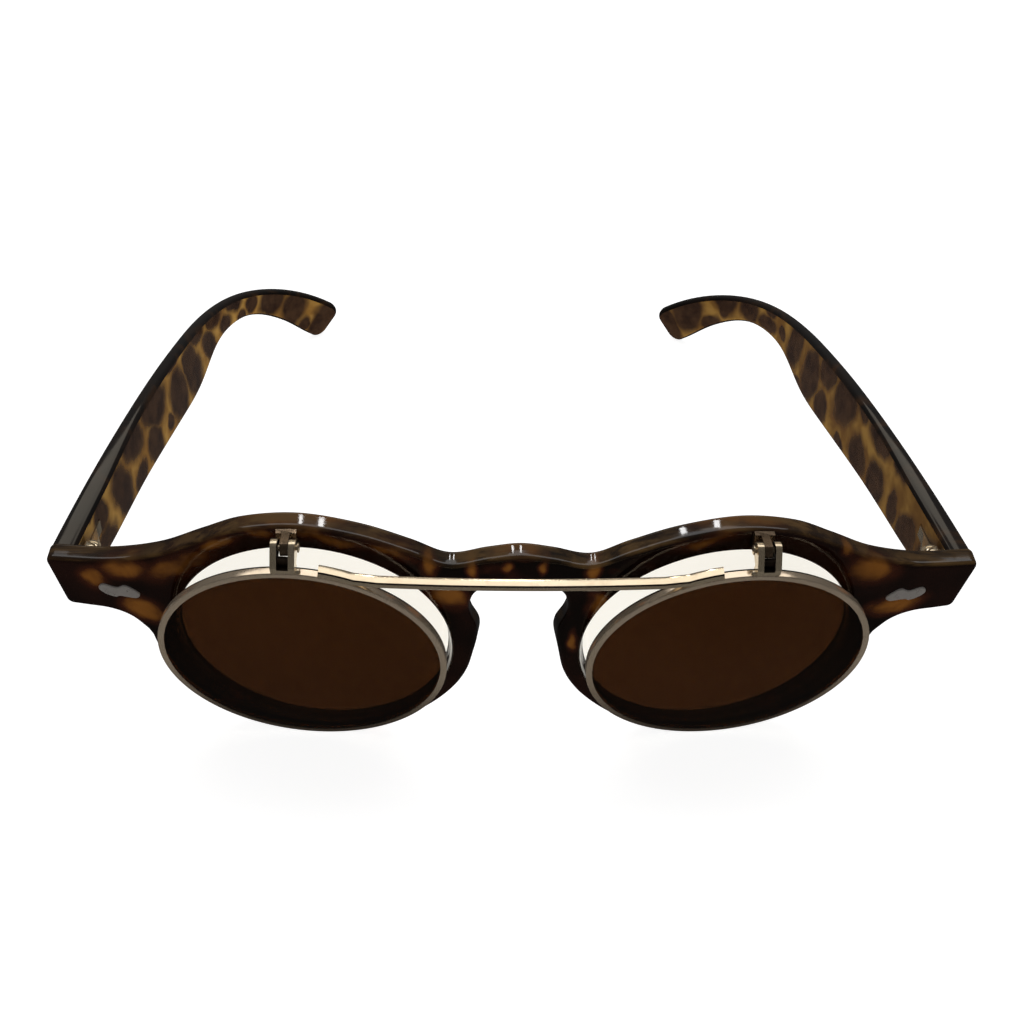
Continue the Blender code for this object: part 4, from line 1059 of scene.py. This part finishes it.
# Spots: along the temple, down from its top edge, half length, half height, turn (down towards the tip)
SPOTS_LEFT = [
    (5, 7.5, 7.0, 4.0, 30), (17, 8.5, 4.6, 2.8, 40), (9, -0.4, 2.0, 1.2, 0), (24.3, 8.2, 2.1, 3.2, 0),
    (24.5, -0.6, 4.5, 2.2, 10), (34.3, 9.8, 4.2, 3.9, 10), (35.0, 0.2, 6.0, 3.0, 8),
    (45.6, 10.0, 4.1, 3.6, 0), (45.3, 0.4, 2.7, 2.5, 0), (55.5, 3.2, 6.6, 4.4, 40),
    (56.5, 13.0, 2.6, 1.5, 0), (66.8, 1.4, 4.9, 3.6, 20), (69.4, 10.6, 3.1, 3.4, 0),
    (78.2, 7.4, 6.6, 4.2, 55), (78.0, -1.4, 3.5, 1.4, 0), (90.2, 4.0, 6.2, 3.6, 55),
    (86.6, 11.6, 2.4, 1.2, 0), (98.6, 4.0, 1.6, 1.6, 0), (99.0, -0.6, 1.6, 0.9, 0),
    (107.0, 3.9, 4.4, 1.7, 0), (105.6, 0.6, 2.4, 1.4, 0), (115.6, 1.6, 3.2, 3.2, 0),
    (124.6, 0.8, 3.3, 3.3, 0), (125.4, 3.6, 1.5, 1.6, 0), (131.6, 6.6, 3.0, 1.8, 10),
    (130.0, -0.8, 1.0, 1.2, 0), (138.3, 2.8, 4.6, 3.7, 40), (146.0, 3.5, 2.2, 6.0, 0),
]
SPOTS_RIGHT = [
    (5, 7.5, 6.5, 4.2, 30), (13.0, 3.0, 3.4, 2.4, 45), (14.5, 9.8, 4.6, 3.0, 25), (8.5, -0.6, 2.0, 1.0, 0),
    (25.6, 6.6, 6.2, 3.6, 50), (34.0, 1.4, 6.6, 3.4, 30), (48.5, 1.6, 7.6, 4.4, 30),
    (47.8, 10.4, 4.8, 3.2, 45), (37.2, 11.0, 3.5, 2.4, 0), (58.6, 10.4, 1.9, 1.6, 20),
    (65.8, 8.2, 6.2, 4.4, 45), (63.5, -0.8, 5.2, 1.8, 0), (78.0, 7.6, 7.4, 4.2, 40),
    (73.0, 4.0, 3.0, 2.4, 30), (80.8, 0.0, 5.8, 2.4, 8), (92.0, 6.6, 5.4, 2.6, 35),
    (94.8, 0.6, 5.2, 2.8, 15), (103.6, 4.7, 3.0, 1.9, 0), (107.6, 0.4, 4.2, 2.2, 10),
    (117.2, 2.4, 1.7, 1.8, 0), (112.5, 4.6, 2.0, 1.2, 0), (125.2, 2.4, 3.7, 3.4, 0),
    (133.6, 3.6, 3.2, 5.0, 0), (145.2, 3.6, 2.9, 6.0, 0), (139.6, 7.0, 1.8, 1.4, 0),
]


# ---------------------------------------------------------------- room, light and camera
def build_world():
    """Soft sky-like room: bright behind and above, dim in front and below, plain white to the eye."""
    world = bpy.data.worlds.new("studio")
    bpy.context.scene.world = world
    nodes = Nodes(world, "Background", 'Generated')
    towards = nodes.add('ShaderNodeVectorMath', {0: nodes.coords, 1: Vector(SKY_BRIGHTEST).normalized()},
                        operation='DOT_PRODUCT').outputs['Value']
    ramp = nodes.add('ShaderNodeValToRGB', {0: nodes.spread(towards, -1.0, 1.0, kind='LINEAR')})
    elements = ramp.color_ramp.elements
    elements[0].color = (0.04, 0.036, 0.032, 1)
    elements[1].color = (0.2, 0.2, 0.2, 1)
    for position, level in SKY_LEVELS:
        elements.new(position).color = (level, level * 0.98, level * 0.96, 1)
    path = nodes.add('ShaderNodeLightPath')
    seen = nodes.math('MAXIMUM', path.outputs['Is Camera Ray'], path.outputs['Is Transmission Ray'])
    nodes.set(Color=nodes.mix(seen, ramp.outputs[0], (1, 1, 1, 1)), Strength=1.0)


def build_floor():
    """Matt pale paper just under the object; it shows in no reflection."""
    bm = bmesh.new()
    bmesh.ops.create_grid(bm, x_segments=1, y_segments=1, size=FLOOR_HALF)
    floor = add_object("floor", bm)
    floor.location = (0, 0, -FLOOR_DROP)
    nodes = material_nodes("floor_paper")
    grain = nodes.noise(120 * MM, 3.0)
    nodes.set(Base_Color=nodes.mix(grain, (0.60, 0.60, 0.60, 1), (0.63, 0.63, 0.625, 1)), Roughness=0.9,
              Specular_IOR_Level=0.0, Emission_Color=(1, 1, 1, 1), Emission_Strength=0.92)
    floor.data.materials.append(nodes.owner)
    floor.visible_glossy = False


def build_lights():
    """A wide soft ceiling light, a low window behind, and small lamps that give the glints."""
    for name, place, aim, size, power, colour in LIGHTS:
        data = bpy.data.lights.new(name, 'AREA')
        data.shape = 'RECTANGLE'
        data.size, data.size_y = size
        data.energy = power
        data.color = colour
        light = bpy.data.objects.new(name, data)
        bpy.context.collection.objects.link(light)
        light.location = place
        light.rotation_euler = (Vector(aim) - Vector(place)).to_track_quat('-Z', 'Y').to_euler()


def build_camera():
    """Above and in front of the wearer's nose, looking down at the front at about forty degrees."""
    elevation, azimuth, roll = (math.radians(a) for a in CAMERA_ANGLES)
    back = Vector((math.sin(azimuth) * math.cos(elevation), -math.cos(azimuth) * math.cos(elevation),
                   math.sin(elevation)))
    right = (-back).cross(Vector((0, 0, 1))).normalized()
    up = right.cross(-back)
    rolled_right = right * math.cos(roll) + up * math.sin(roll)
    rolled_up = up * math.cos(roll) - right * math.sin(roll)
    data = bpy.data.cameras.new("camera")
    data.sensor_width = CAMERA_SENSOR
    data.lens = CAMERA_LENS
    data.clip_start = 1 * MM
    data.clip_end = 20
    camera = bpy.data.objects.new("camera", data)
    bpy.context.collection.objects.link(camera)
    rotation = Matrix((rolled_right, rolled_up, back)).transposed().to_4x4()
    camera.matrix_world = Matrix.Translation(Vector(CAMERA_AIM) + back * CAMERA_DISTANCE) @ rotation
    bpy.context.scene.camera = camera


# ---------------------------------------------------------------- everything together
shell_material = tortoise_front("tortoise_front", front_clouds())
dark_acetate = acetate_dark("tortoise_dark")
gold = plated("gold_plate", srgb(226, 208, 178), srgb(200, 178, 146), 0.1)
# the rim metal gets painted shade that darkens it towards the bottom
rim_gold = plated("rim_plate", srgb(232, 212, 186), srgb(206, 184, 156), 0.12, metallic=0.76, shaded_low=True)
# painted shade: a darker copy of the plated metal for the bracket plates, which sit in shade on the brow
shaded_bracket_metal = plated("hinge_plate", srgb(112, 94, 74), srgb(84, 68, 54), 0.16)
# low and high tone by side; the wearer's right temple is the lighter one
TEMPLE_AMBER = {1: (srgb(118, 82, 38), srgb(162, 122, 58)), -1: (srgb(154, 110, 50), srgb(196, 150, 74))}
# painted shade for the metal's slots and the dark edges of the ring and bar
shadow = painted_shade("painted_shade")
silver = plated("plaque_plate", srgb(222, 216, 210), srgb(196, 188, 182), 0.26)
clear = glass("clear_lens", srgb(240, 236, 226), srgb(243, 240, 231), 1.5, 0.03, lets_lamps_through=True)
# the colour of the tinted lens is what two passes through its surface leave
tinted = glass("tinted_lens", (0.025, 0.0086, 0.0024, 1), (0.028, 0.0098, 0.0029, 1), 1.3, 0.035)

build_front_frame(shell_material)
build_clear_lenses(clear)
build_plaques(silver)
for side_name, side_sign in SIDES:
    table = SPOTS_LEFT if side_sign > 0 else SPOTS_RIGHT
    spotted = tortoise_spotted("tortoise_spotted_" + side_name, temple_spots(side_sign, table),
                               *TEMPLE_AMBER[side_sign])
    build_temple(side_name, side_sign, dark_acetate, spotted)
    build_temple_hinge(side_name, side_sign, gold)
    build_ring(side_name, side_sign, rim_gold, shadow, tinted)
    build_flip_arm(side_name, side_sign, gold, shadow)
    build_bracket(side_name, side_sign, shaded_bracket_metal)
build_bar(gold, shadow)
build_world()
build_floor()
build_lights()
build_camera()
bpy.context.scene.view_settings.view_transform = 'Standard'
